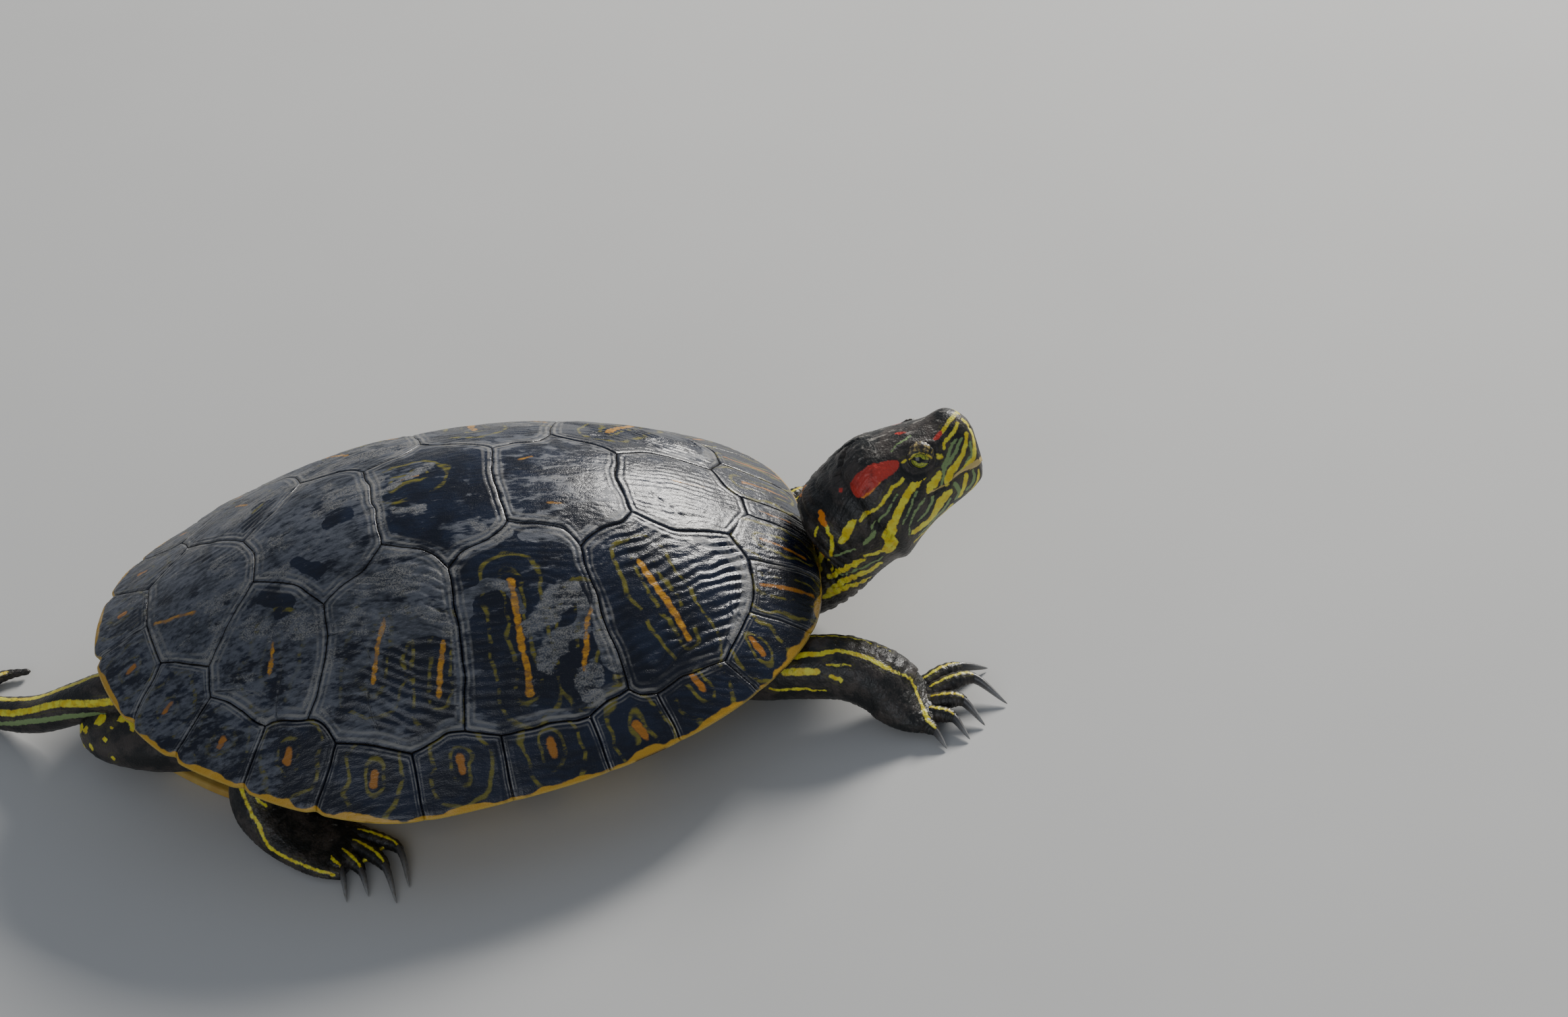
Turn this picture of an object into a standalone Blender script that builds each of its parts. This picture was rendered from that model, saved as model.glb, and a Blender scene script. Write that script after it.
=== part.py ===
"""Red-eared slider turtle as a still, life-size model: one closed solid for each named part of the body.

Frame: the animal faces +X, its left side is +Y and +Z is up. The origin lies on the floor, in the flat
underside of the plastron, below the middle of the shell. Sizes in this file are millimetres; they become
metres where a mesh is made.
"""

import math

import bmesh
import bpy
import numpy as np
from mathutils import Matrix

MM = 0.001
GAP = 0.3                       # clearance between neighbouring solids

# Carapace
RIM_HEIGHT = 30.0               # rim above the floor at the bridge
DOME_RISE = 55.0                # crown of the dome above the rim
WIDEST_X = -12.0
FRONT_REACH = 132.0             # from the widest point to the front pole, before the front is blunted
REAR_REACH = 108.0
HALF_WIDTH = 94.0
FRONT_POWER = 2.18              # superellipse powers of the plan outline
REAR_POWER = 1.92
FRONT_LIFT = 0.5                # rise of the rim towards its front and rear poles
REAR_LIFT = 13.9
LIFT_POWER = 2.24
POLE_X = 120.0
FRONT_PROFILE = (2.28, 1.02)    # dome profile (1 - ring^p)^q towards the front, the rear and the sides
REAR_PROFILE = (1.80, 1.17)
SIDE_PROFILE = (2.00, 1.17)
BLUNT_X = 105.0                 # the front of the outline is pressed back from here on
BLUNTNESS = 0.28
HAUNCH_SWELL = ((-38.0, 20.0, 0.026), (-86.0, 11.0, -0.028), (-110.0, 9.0, 0.018))
SCUTE_THICKNESS = 2.4
SCUTE_INSET = 0.22
RIM_THICKNESS = 1.8

# Seams of the left half of the carapace, as plan points; the right half mirrors them.
NUCHAL_CORNER = (96.0, 4.5)
FIRST_CORNER = (88.5, 17.5)
VERTEBRAL_SEAMS = ((58.5, 15.5), (18.5, 18.5), (-23.0, 19.5), (-65.0, 10.5))
VERTEBRAL_POINTS = ((39.5, 29.5), (-3.0, 32.0), (-44.0, 31.5))
LAST_CORNER = (-84.0, 31.0)
PLEURAL_FEET = ((44.5, 70.0), (-8.5, 75.5), (-57.0, 60.5))
MARGINAL_HEADS = (NUCHAL_CORNER, (92.0, 25.5), (89.0, 44.0), (77.5, 61.0), (54.0, 70.5), (31.0, 76.5),
                  (2.0, 78.5), (-26.5, 78.0), (-49.5, 69.0), (-70.0, 56.5), (-85.5, 40.5), (-98.5, 19.0),
                  (-101.5, 0.0))
RIM_BEARINGS = (3, 13, 28, 44, 59, 70, 84, 98, 117, 131, 147, 160, 180)   # degrees from the front pole

# Plastron and the core of the trunk
PLASTRON_THICKNESS = 5.0
PLASTRON_REAR, PLASTRON_FRONT = -104.0, 96.0
PLASTRON_STATIONS = (PLASTRON_REAR, -98.0, -88.0, -72.0, -56.0, -48.0, -42.0, -20.0, 10.0, 40.0, 46.0, 54.0,
                     68.0, 82.0, 91.0, PLASTRON_FRONT)
PLASTRON_HALF_WIDTH = 56.0
FRONT_LOBE_REACH = 98.0
FRONT_LOBE_POWERS = (3.2, 0.455)   # half width = full * (1 - (x / reach)^p)^q
WAIST_NARROWING, WAIST_LENGTH = 8.0, 60.0
REAR_LOBE_START, REAR_LOBE_LENGTH = -40.0, 66.0
REAR_LOBE_TAPER, REAR_LOBE_POWER = 34.0, 2.6
LOBE_TIP_RISE, LOBE_TIP_START, LOBE_TIP_LENGTH = 2.2, 80.0, 24.0
PLASTRON_BEVEL = (6.0, 2.4)     # how far in from the edge the flat underside ends, and how low the edge sits
BRIDGE_REAR, BRIDGE_FRONT = -48.0, 50.0
BRIDGE_TOP = RIM_HEIGHT - 2.3
BRIDGE_REACH = 76.0
BRIDGE_RUN = 10.0               # length over which a bridge rises from the plastron's edge
BRIDGE_WALL = 3.5
# station x, half width, bottom, top
TRUNK_STATIONS = ((84.0, 20.0, 7.0, 25.5), (76.0, 30.0, 5.6, 27.4), (45.0, 46.0, 5.6, 27.6),
                  (0.0, 47.0, 5.6, 27.6), (-45.0, 44.0, 5.6, 27.6), (-72.0, 36.0, 5.6, 27.6),
                  (-92.0, 31.0, 6.8, 29.0), (-107.0, 27.0, 8.0, 27.0), (-118.0, 20.0, 8.4, 23.0),
                  (-126.0, 12.0, 9.0, 19.5), (-130.0, 5.0, 11.0, 16.0))
TRUNK_SIDES, TRUNK_POWER = 14, 3.0

# Head, in its own frame: x forward from 0 at the tip of the beak, y left, z up
BEAK_TIP = (174.1, -4.6, 52.6)
HEAD_PITCH = 5.9
HEAD_ROLL = -19.8
MOUTH_SLOPE = 0.11
MOUTH_CORNER_X = -23.0
EYE_PLACE = (-20.0, 9.7, 10.0)
EYE_RADIUS = 4.7
# station x, half width, top, bottom, shear of the section with height
HEAD_STATIONS = ((-0.3, 3.2, 11.2, -2.6, 0.0), (-1.6, 5.4, 14.8, -6.0, 0.0), (-4.6, 7.2, 17.4, -8.4, 0.0),
                 (-10.0, 9.8, 18.2, -10.8, 0.0), (-16.0, 12.6, 18.5, -13.0, -0.03),
                 (-22.0, 14.8, 18.7, -15.4, -0.08), (-28.0, 16.6, 18.6, -18.6, -0.13),
                 (-33.0, 17.8, 18.2, -21.6, -0.17), (-37.0, 18.2, 17.6, -23.6, -0.20))
HEAD_SIDES = 18

# Neck: top x, top z, bottom x, bottom z, half width, midline y
NECK_STATIONS = ((86.0, 27.0, 86.0, 7.2, 17.5, 0.0), (100.0, 28.0, 101.0, 7.2, 18.0, -0.5),
                 (110.0, 28.0, 114.0, 7.5, 18.0, -1.0), (116.9, 28.6, 123.5, 12.0, 18.0, -1.5),
                 (117.2, 34.0, 131.0, 16.5, 18.0, -2.0), (113.6, 39.2, 134.6, 18.9, 18.2, -2.3),
                 (112.6, 45.0, 137.5, 21.0, 18.4, -2.6), (119.2, 54.0, 141.5, 24.0, 18.6, -3.2))

# Limbs of the right side: rows are centre x, y, z, half width, half height
LIMB_SIDES = 10
LIMB_POWER = 2.3
FOLD_STEP = 0.3                 # least spacing of a limb's rings where a tight bend presses them together
LEG_NAMES = ("upper_leg", "lower_leg", "foot")
KNEE_ROW, FOOT_ROW = 3, 5
FORE_ROWS = ((72.0, -33.0, 15.5, 10.0, 8.6), (88.0, -41.0, 16.4, 11.0, 9.6),
             (103.0, -47.0, 17.6, 10.6, 9.8), (116.0, -51.5, 17.2, 10.6, 10.0),
             (126.0, -56.0, 12.6, 11.2, 9.4), (131.0, -60.0, 7.6, 11.6, 7.4),
             (136.5, -62.5, 4.5, 11.8, 4.9), (141.0, -63.5, 3.4, 10.0, 3.8))
HIND_ROWS = ((-54.0, -30.0, 16.0, 10.0, 9.0), (-66.0, -39.0, 16.4, 11.2, 10.0),
             (-75.0, -45.0, 15.4, 10.6, 9.8), (-77.0, -50.0, 11.4, 9.6, 8.4),
             (-73.0, -56.0, 7.2, 10.4, 6.6), (-66.0, -62.5, 4.6, 12.0, 5.0),
             (-58.0, -68.5, 3.6, 13.4, 4.0), (-51.0, -73.0, 2.8, 12.4, 3.2))
FORE_STRIDE_LEFT = -26.0        # how far the left feet stand from the mirror image of the right ones
HIND_STRIDE_LEFT = 12.0
FORE_TUCK_LEFT = 15.0           # how far the left forefoot stands in towards the midline
# Digits: root, knuckle, claw root, claw tip, radius
FORE_DIGITS = (((137.0, -55.0, 5.0), (146.0, -51.0, 6.4), (153.0, -48.5, 5.0), (161.5, -47.0, 0.8), 3.0),
               ((139.0, -59.0, 5.2), (149.0, -57.0, 7.0), (156.0, -57.0, 6.0), (164.0, -66.0, 0.8), 3.2),
               ((139.0, -62.5, 5.0), (146.5, -64.5, 6.4), (150.5, -66.5, 5.4), (155.0, -74.0, 0.8), 3.1),
               ((137.0, -66.0, 4.6), (143.0, -69.5, 5.0), (146.0, -72.0, 4.2), (149.0, -79.0, 0.8), 2.9),
               ((134.6, -68.2, 4.2), (137.4, -73.0, 4.2), (139.0, -75.5, 3.4), (141.0, -81.0, 0.8), 2.7))
HIND_DIGITS = (((-50.0, -64.0, 3.4), (-42.0, -70.5, 3.9), (-36.5, -77.0, 3.4), (-36.0, -92.0, 0.8), 2.9),
               ((-52.0, -68.0, 3.4), (-45.5, -76.5, 4.2), (-42.0, -84.0, 3.6), (-41.0, -98.0, 0.8), 3.0),
               ((-56.0, -70.5, 3.4), (-52.0, -77.5, 4.0), (-49.8, -83.0, 3.2), (-49.3, -92.0, 0.8), 2.8),
               ((-60.0, -71.0, 3.4), (-58.0, -77.0, 4.0), (-56.0, -81.0, 3.2), (-56.4, -92.5, 0.8), 2.7))
DIGIT_SIDES = 7
CLAW_TIP_RADIUS = 0.45

# Tail, in the limbs' kind of rows: long as a male's and curled round to the left
TAIL_ROWS = ((-104.0, 2.0, 19.0, 10.5, 9.5), (-112.0, 3.5, 21.2, 9.2, 8.6), (-120.0, 6.5, 22.2, 8.0, 7.6),
             (-130.0, 11.0, 17.8, 7.2, 6.8), (-142.0, 17.5, 11.2, 6.6, 6.2), (-153.0, 25.5, 7.4, 5.9, 5.6),
             (-160.6, 33.0, 5.6, 5.0, 4.8), (-163.2, 41.5, 4.4, 4.1, 3.9), (-159.4, 48.0, 3.6, 3.2, 3.0),
             (-152.0, 51.0, 2.6, 2.0, 1.8), (-145.0, 51.0, 2.2, 1.2, 1.2))
TAIL_SPLIT_ROW = 4
SPAN_STEPS = 2                  # rings for each span between two rows of a limb, a digit or the tail

COLOURS = {
    "scute": ((0.030, 0.036, 0.050), 0.34),
    "plastron": ((0.62, 0.46, 0.10), 0.45),
    "skin": ((0.030, 0.034, 0.028), 0.50),
    "eye": ((0.20, 0.24, 0.03), 0.10),
}


# ---------------------------------------------------------------------------------------------- helpers

def material(kind):
    """The plain finish of one kind of part, made once and shared."""
    name = "turtle_" + kind
    if name in bpy.data.materials:
        return bpy.data.materials[name]
    colour, roughness = COLOURS[kind]
    made = bpy.data.materials.new(name)
    made.use_nodes = True
    surface = made.node_tree.nodes["Principled BSDF"]
    surface.inputs["Base Color"].default_value = (*colour, 1.0)
    surface.inputs["Roughness"].default_value = roughness
    surface.inputs["Metallic"].default_value = 0.0
    return made


def add_solid(name, points, faces, kind):
    """Make one named object from points in millimetres and its faces."""
    mesh = bpy.data.meshes.new(name)
    mesh.from_pydata([tuple(float(c) * MM for c in p) for p in points], [], faces)
    mesh.update()
    shell = bmesh.new()
    shell.from_mesh(mesh)
    bmesh.ops.recalc_face_normals(shell, faces=shell.faces)
    shell.to_mesh(mesh)
    shell.free()
    mesh.shade_smooth()
    mesh.set_sharp_from_angle(angle=math.radians(50))
    solid = bpy.data.objects.new(name, mesh)
    solid.data.materials.append(material(kind))
    bpy.context.scene.collection.objects.link(solid)
    return solid


def smooth_path(stations, steps):
    """Stations read from a Catmull-Rom curve through the given ones, with this many steps a span."""
    rows = np.asarray(stations, dtype=float)
    padded = np.vstack([2 * rows[0] - rows[1], rows, 2 * rows[-1] - rows[-2]])
    out = []
    for i in range(1, len(padded) - 2):
        before, here, there, after = padded[i - 1:i + 3]
        for t in np.arange(steps) / steps:
            out.append(0.5 * (2 * here + (there - before) * t
                              + (2 * before - 5 * here + 4 * there - after) * t ** 2
                              + (3 * here - before - 3 * there + after) * t ** 3))
    out.append(rows[-1])
    return np.array(out)


def section(half_width, top, bottom, sides, power=2.3):
    """A closed section as (side, height) pairs: a superellipse whose upper and lower halves differ."""
    angle = 2 * math.pi * (np.arange(sides) + 0.5) / sides
    across, up = np.cos(angle), np.sin(angle)
    reach = (np.abs(across) ** power + np.abs(up) ** power) ** (-1 / power)
    middle, half_height = 0.5 * (top + bottom), 0.5 * (top - bottom)
    return np.column_stack([half_width * reach * across, middle + half_height * reach * up])


def loft(name, rings, kind, nose=0.0, tail=0.0, floor=None):
    """A closed body through rings of equal size; its ends close on points pushed out by nose and tail."""
    rings = [np.asarray(ring, dtype=float) for ring in rings]
    sides = len(rings[0])
    first, last = rings[0].mean(axis=0), rings[-1].mean(axis=0)
    start = first + tail * (first - rings[1].mean(axis=0)) / np.linalg.norm(first - rings[1].mean(axis=0))
    end = last + nose * (last - rings[-2].mean(axis=0)) / np.linalg.norm(last - rings[-2].mean(axis=0))
    points = np.vstack(rings + [start[None], end[None]])
    if floor is not None:
        points[:, 2] = np.maximum(points[:, 2], floor)
    faces = []
    for r in range(len(rings) - 1):
        for s in range(sides):
            n = (s + 1) % sides
            faces.append((r * sides + s, r * sides + n, (r + 1) * sides + n, (r + 1) * sides + s))
    low, high = len(points) - 2, len(points) - 1
    top = (len(rings) - 1) * sides
    for s in range(sides):
        n = (s + 1) % sides
        faces.append((low, n, s))
        faces.append((high, top + s, top + n))
    return add_solid(name, points, faces, kind)


def sweep_rings(path, sides, power, start=0, stop=None):
    """Rings across rows start to stop of a path of (x, y, z, half width, half height) rows.

    A stretch that begins or ends inside the path is drawn back by half the gap, along the whole path's own
    direction there, so that two neighbouring stretches part along one plane. In a tight bend the flesh is
    pressed level against those two planes, and nowhere does it reach below the floor.
    """
    stop = len(path) - 1 if stop is None else stop
    centres = path[:, :3].copy()
    along = np.gradient(centres, axis=0)
    along /= np.linalg.norm(along, axis=1)[:, None]
    if start > 0:
        centres[start] += along[start] * GAP / 2
    if stop < len(path) - 1:
        centres[stop] -= along[stop] * GAP / 2
    side = np.cross([0.0, 0.0, 1.0], along)
    side /= np.linalg.norm(side, axis=1)[:, None]
    up = np.cross(along, side)
    level = along * [1.0, 1.0, 0.0]
    level /= (level ** 2).sum(axis=1)[:, None]
    rings = []
    for k in range(start, stop + 1):
        flat = section(path[k, 3], path[k, 4], -path[k, 4], sides, power)
        ring = centres[k] + flat[:, :1] * side[k] + flat[:, 1:] * up[k]
        ring[:, 2] = np.maximum(ring[:, 2], 0.0)
        if start > 0:
            short = (k - start) * FOLD_STEP - (ring - centres[start]) @ along[start]
            ring += np.clip(short, 0, None)[:, None] * level[start]
        if stop < len(path) - 1:
            over = (stop - k) * FOLD_STEP + (ring - centres[stop]) @ along[stop]
            ring -= np.clip(over, 0, None)[:, None] * level[stop]
        rings.append(ring)
    return rings


def cut(solid, cutter, operation="DIFFERENCE"):
    """Apply a Boolean of the cutter to the solid and hide the cutter."""
    cutter.hide_render = True
    cutter.display_type = "WIRE"
    change = solid.modifiers.new("cut_" + cutter.name, "BOOLEAN")
    change.operation = operation
    change.solver = "EXACT"
    change.object = cutter


# ---------------------------------------------------------------------------------------------- carapace

def rim_lift(x):
    """How far the rim stands above its height at the bridge."""
    ahead = np.clip(x / POLE_X, 0, 1) ** LIFT_POWER
    behind = np.clip(-x / POLE_X, 0, 1) ** LIFT_POWER
    return FRONT_LIFT * ahead + REAR_LIFT * behind


def rim_point(bearing):
    """Plan point of the outline at a bearing in radians from the front pole."""
    c, s = math.cos(bearing), math.sin(bearing)
    power = FRONT_POWER if c > 0 else REAR_POWER
    reach = (abs(c) ** power + abs(s) ** power) ** (-1 / power)
    return (WIDEST_X + (FRONT_REACH if c > 0 else REAR_REACH) * reach * c, HALF_WIDTH * reach * s)


def ring_and_bearing(x, y):
    """Ring number, 0 at the widest point's middle and 1 on the rim, and bearing of plan points."""
    ahead = x > WIDEST_X
    u = (x - WIDEST_X) / np.where(ahead, FRONT_REACH, REAR_REACH)
    v = y / HALF_WIDTH
    power = np.where(ahead, FRONT_POWER, REAR_POWER)
    ring = (np.abs(u) ** power + np.abs(v) ** power) ** (1 / power)
    return np.clip(ring, 0, 1), np.arctan2(v, u)


def dome_height(x, y):
    """Height of the carapace's outer surface above the floor at plan points."""
    ring, bearing = ring_and_bearing(x, y)
    c, s = np.cos(bearing), np.sin(bearing)
    power = np.where(c > 0, FRONT_POWER, REAR_POWER)
    reach = (np.abs(c) ** power + np.abs(s) ** power) ** (-1 / power)
    lift = rim_lift(WIDEST_X + np.where(c > 0, FRONT_REACH, REAR_REACH) * reach * c)
    ends = np.where(c > 0, (1 - ring ** FRONT_PROFILE[0]) ** FRONT_PROFILE[1],
                    (1 - ring ** REAR_PROFILE[0]) ** REAR_PROFILE[1])
    sides = (1 - ring ** SIDE_PROFILE[0]) ** SIDE_PROFILE[1]
    profile = c ** 2 * ends + (1 - c ** 2) * sides
    return RIM_HEIGHT + lift + (DOME_RISE - lift) * profile


def dome_normal(x, y):
    """Outward unit normals of the dome at plan points."""
    step = 0.5
    ring, _ = ring_and_bearing(x, y)
    pull = np.where(ring > 0.97, 0.97 / np.maximum(ring, 1e-6), 1.0)
    x, y = WIDEST_X + (x - WIDEST_X) * pull, y * pull
    slope_x = (dome_height(x + step, y) - dome_height(x - step, y)) / (2 * step)
    slope_y = (dome_height(x, y + step) - dome_height(x, y - step)) / (2 * step)
    normal = np.stack([-slope_x, -slope_y, np.ones_like(slope_x)], axis=-1)
    return normal / np.linalg.norm(normal, axis=-1, keepdims=True)


def settle(points, plan):
    """Press the front of the shell blunt and swell the haunches near the rim."""
    ring, _ = ring_and_bearing(plan[..., 0], plan[..., 1])
    swell = np.zeros_like(ring)
    for centre, spread, amount in HAUNCH_SWELL:
        swell += amount * np.exp(-((plan[..., 0] - centre) / spread) ** 2)
    out = points.copy()
    out[..., 1] *= 1 + swell * ring ** 6
    over = np.clip(out[..., 0] - BLUNT_X, 0, None)
    out[..., 0] -= BLUNTNESS * over ** 2 / (POLE_X - BLUNT_X)
    return out


def edge(corners, counts):
    """Points along a polyline with a stated number of steps on each of its runs."""
    corners = np.asarray(corners, dtype=float)
    runs = [a + (b - a) * np.arange(n)[:, None] / n for a, b, n in zip(corners, corners[1:], counts)]
    return np.vstack(runs + [corners[-1:]])


def rim_edge(from_bearing, to_bearing, count):
    """Points along the outline between two bearings in degrees."""
    bearings = np.radians(np.linspace(from_bearing, to_bearing, count + 1))
    return np.array([rim_point(b) for b in bearings])


def patch(inner, outer, front, rear):
    """Coons patch: inner and outer run front to rear, front and rear run inner to outer."""
    a = np.linspace(0, 1, len(inner))[:, None, None]
    b = np.linspace(0, 1, len(front))[None, :, None]
    ruled = (1 - a) * front[None] + a * rear[None] + (1 - b) * inner[:, None] + b * outer[:, None]
    corners = ((1 - a) * (1 - b) * inner[0] + (1 - a) * b * outer[0]
               + a * (1 - b) * inner[-1] + a * b * outer[-1])
    return ruled - corners


def inset(grid, distance):
    """Draw the border of a plan grid inwards by a fixed distance."""
    out = grid.copy()
    rows, columns = grid.shape[:2]
    for i in range(rows):
        for j in range(columns):
            near = (min(max(i, 1), rows - 2), min(max(j, 1), columns - 2))
            if near == (i, j):
                continue
            inwards = grid[near] - grid[i, j]
            corner = near[0] != i and near[1] != j
            reach = distance * (1.5 if corner else 1.0)
            out[i, j] += inwards / np.linalg.norm(inwards) * reach
    return out


def plate(name, top, bottom, kind):
    """A closed plate between two grids of equal size."""
    rows, columns = top.shape[:2]
    count = rows * columns
    points = np.vstack([top.reshape(-1, 3), bottom.reshape(-1, 3)])
    faces = []
    for i in range(rows - 1):
        for j in range(columns - 1):
            a = i * columns + j
            quad = (a, a + 1, a + columns + 1, a + columns)
            faces.append(quad)
            faces.append(tuple(count + k for k in reversed(quad)))
    border = ([j for j in range(columns)] + [i * columns + columns - 1 for i in range(1, rows)]
              + [(rows - 1) * columns + j for j in range(columns - 2, -1, -1)]
              + [i * columns for i in range(rows - 2, 0, -1)])
    for k, a in enumerate(border):
        b = border[(k + 1) % len(border)]
        faces.append((a, b, count + b, count + a))
    return add_solid(name, points, faces, kind)


def scute(name, grid, is_marginal=False):
    """One horny plate of the carapace over a plan grid."""
    plan = inset(grid, SCUTE_INSET)
    x, y = plan[..., 0], plan[..., 1]
    top = np.dstack([x, y, dome_height(x, y)])
    if is_marginal:
        bottom = np.dstack([x, y, RIM_HEIGHT + rim_lift(x) - RIM_THICKNESS])
    else:
        bottom = top - SCUTE_THICKNESS * dome_normal(x, y)
    return plate(name, settle(top, plan), settle(bottom, plan), "scute")


def mirrored(points):
    """The same plan points on the other side of the midline."""
    return np.asarray(points, dtype=float) * [1.0, -1.0]


def build_vertebrals():
    """The five plates of the middle row, each spanning the midline from left to right."""
    nose = edge((FIRST_CORNER, NUCHAL_CORNER, mirrored(NUCHAL_CORNER), mirrored(FIRST_CORNER)), (1, 2, 1))
    ends = [nose] + [edge((seam, mirrored(seam)), (4,)) for seam in VERTEBRAL_SEAMS]
    rump = (LAST_CORNER, MARGINAL_HEADS[11], MARGINAL_HEADS[12], mirrored(MARGINAL_HEADS[11]),
            mirrored(LAST_CORNER))
    ends.append(edge(rump, (1, 1, 1, 1)))
    flanks = [edge((FIRST_CORNER, VERTEBRAL_SEAMS[0]), (6,))]
    for seam, point, after in zip(VERTEBRAL_SEAMS, VERTEBRAL_POINTS, VERTEBRAL_SEAMS[1:]):
        flanks.append(edge((seam, point, after), (3, 3)))
    flanks.append(edge((VERTEBRAL_SEAMS[3], LAST_CORNER), (5,)))
    for i, flank in enumerate(flanks):
        scute(f"vertebral_{i + 1}", patch(flank, mirrored(flank), ends[i], ends[i + 1]))


def build_pleurals(side):
    """The four broad plates of one flank."""
    heads, feet, points = MARGINAL_HEADS, PLEURAL_FEET, VERTEBRAL_POINTS
    seams = VERTEBRAL_SEAMS
    layouts = (
        (((FIRST_CORNER, seams[0], points[0]), (3, 3)), ((heads[2], heads[3], heads[4], feet[0]), (2, 3, 1)),
         ((FIRST_CORNER, heads[1], heads[2]), (2, 3)), ((points[0], feet[0]), (5,))),
        (((points[0], seams[1], points[1]), (3, 3)), ((feet[0], heads[5], heads[6], feet[1]), (2, 3, 1)),
         ((points[0], feet[0]), (5,)), ((points[1], feet[1]), (5,))),
        (((points[1], seams[2], points[2]), (3, 3)), ((feet[1], heads[7], heads[8], feet[2]), (2, 3, 1)),
         ((points[1], feet[1]), (5,)), ((points[2], feet[2]), (5,))),
        (((points[2], seams[3], LAST_CORNER), (3, 3)), ((feet[2], heads[9], heads[10]), (2, 4)),
         ((points[2], feet[2]), (4,)), ((LAST_CORNER, heads[10]), (4,))),
    )
    for i, (inner, outer, front, rear) in enumerate(layouts):
        grid = patch(edge(*inner), edge(*outer), edge(*front), edge(*rear))
        if side == "right":
            grid = mirrored(grid)
        scute(f"pleural_{side}_{i + 1}", grid)


def build_marginals(side):
    """The twelve rim plates of one side."""
    extra = {1: FIRST_CORNER, 5: PLEURAL_FEET[0], 7: PLEURAL_FEET[1], 9: PLEURAL_FEET[2], 11: LAST_CORNER}
    for i in range(1, 13):
        stops = [MARGINAL_HEADS[i - 1], MARGINAL_HEADS[i]]
        counts = (3,)
        if i in extra:
            stops.insert(1, extra[i])
            counts = (2, 1)
        inner = edge(stops, counts)
        outer = rim_edge(RIM_BEARINGS[i - 1], RIM_BEARINGS[i], 3)
        front = edge((inner[0], outer[0]), (3,))
        rear = edge((inner[-1], outer[-1]), (3,))
        grid = patch(inner, outer, front, rear)
        if side == "right":
            grid = mirrored(grid)
        scute(f"marginal_{side}_{i}", grid, is_marginal=True)


def build_nuchal():
    """The narrow plate at the front of the midline."""
    inner = edge((NUCHAL_CORNER, mirrored(NUCHAL_CORNER)), (2,))
    outer = rim_edge(RIM_BEARINGS[0], -RIM_BEARINGS[0], 2)
    front, rear = edge((inner[0], outer[0]), (3,)), edge((inner[-1], outer[-1]), (3,))
    scute("nuchal", patch(inner, outer, front, rear), is_marginal=True)


# ---------------------------------------------------------------------------------------------- underside

def smooth_step(value):
    """0 below 0, 1 above 1 and smooth between."""
    t = np.clip(value, 0.0, 1.0)
    return t * t * (3 - 2 * t)


def plastron_half_width(x):
    """Half width of the plastron: two round lobes and a straight middle."""
    if x > 0:
        power, root = FRONT_LOBE_POWERS
        return PLASTRON_HALF_WIDTH * (1 - (x / FRONT_LOBE_REACH) ** power) ** root
    waist = WAIST_NARROWING * smooth_step(-x / WAIST_LENGTH)
    lobe = np.clip((REAR_LOBE_START - x) / REAR_LOBE_LENGTH, 0, 1) ** REAR_LOBE_POWER
    return PLASTRON_HALF_WIDTH - waist - REAR_LOBE_TAPER * lobe


def build_plastron():
    """The belly plate with the two bridges that rise from it to the rim."""
    bevel, edge_height = PLASTRON_BEVEL
    rings = []
    for x in PLASTRON_STATIONS:
        width = plastron_half_width(x)
        rise = smooth_step((x - BRIDGE_REAR) / BRIDGE_RUN) * smooth_step((BRIDGE_FRONT - x) / BRIDGE_RUN)
        reach = width + rise * (BRIDGE_REACH - width)
        top = PLASTRON_THICKNESS + rise * (BRIDGE_TOP - PLASTRON_THICKNESS)
        tip_up = LOBE_TIP_RISE * smooth_step((abs(x) - LOBE_TIP_START) / LOBE_TIP_LENGTH)
        half = [(width - bevel, 0.0), (width, edge_height), (reach, top - 0.4), (reach - BRIDGE_WALL, top),
                (width - bevel, PLASTRON_THICKNESS)]
        loop = [(x, y, z + (tip_up if i else 0.0)) for i, (y, z) in enumerate(half)]
        loop += [(x, -y, z) for x, y, z in reversed(loop)]
        rings.append(loop)
    return loft("plastron", rings, "plastron")


def build_trunk(name="trunk"):
    """The core of the body between carapace and plastron, with the rump behind it."""
    rings = []
    for x, half_width, low, high in reversed(TRUNK_STATIONS):
        flat = section(half_width, high, low, TRUNK_SIDES, TRUNK_POWER)
        rings.append(np.column_stack([np.full(len(flat), x), flat]))
    return loft(name, rings, "skin", nose=0.6, tail=1.0)


# ---------------------------------------------------------------------------------------------- head

def head_frame():
    """Matrix from the head's own frame to the model's, in millimetres."""
    pitch = Matrix.Rotation(-math.radians(HEAD_PITCH), 4, "Y")
    roll = Matrix.Rotation(math.radians(HEAD_ROLL), 4, "X")
    return Matrix.Translation(BEAK_TIP) @ pitch @ roll


def from_head(points):
    """Points of the head's own frame, in the model's frame."""
    frame = np.array(head_frame())
    points = np.asarray(points, dtype=float)
    return points @ frame[:3, :3].T + frame[:3, 3]


def head_ring(x, half_width, top, bottom, shear):
    """One section of the head in the model's frame."""
    flat = section(half_width, top, bottom, HEAD_SIDES)
    local = np.column_stack([x + shear * flat[:, 1], flat])
    return from_head(local)


def add_box(name, low, high, place):
    """A box between two corners of the head's frame, used as a cutter."""
    corners = [(x, y, z) for x in (low[0], high[0]) for y in (low[1], high[1]) for z in (low[2], high[2])]
    faces = [(0, 1, 3, 2), (4, 6, 7, 5), (0, 4, 5, 1), (2, 3, 7, 6), (0, 2, 6, 4), (1, 5, 7, 3)]
    return add_solid(name, place(corners), faces, "skin")


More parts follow.
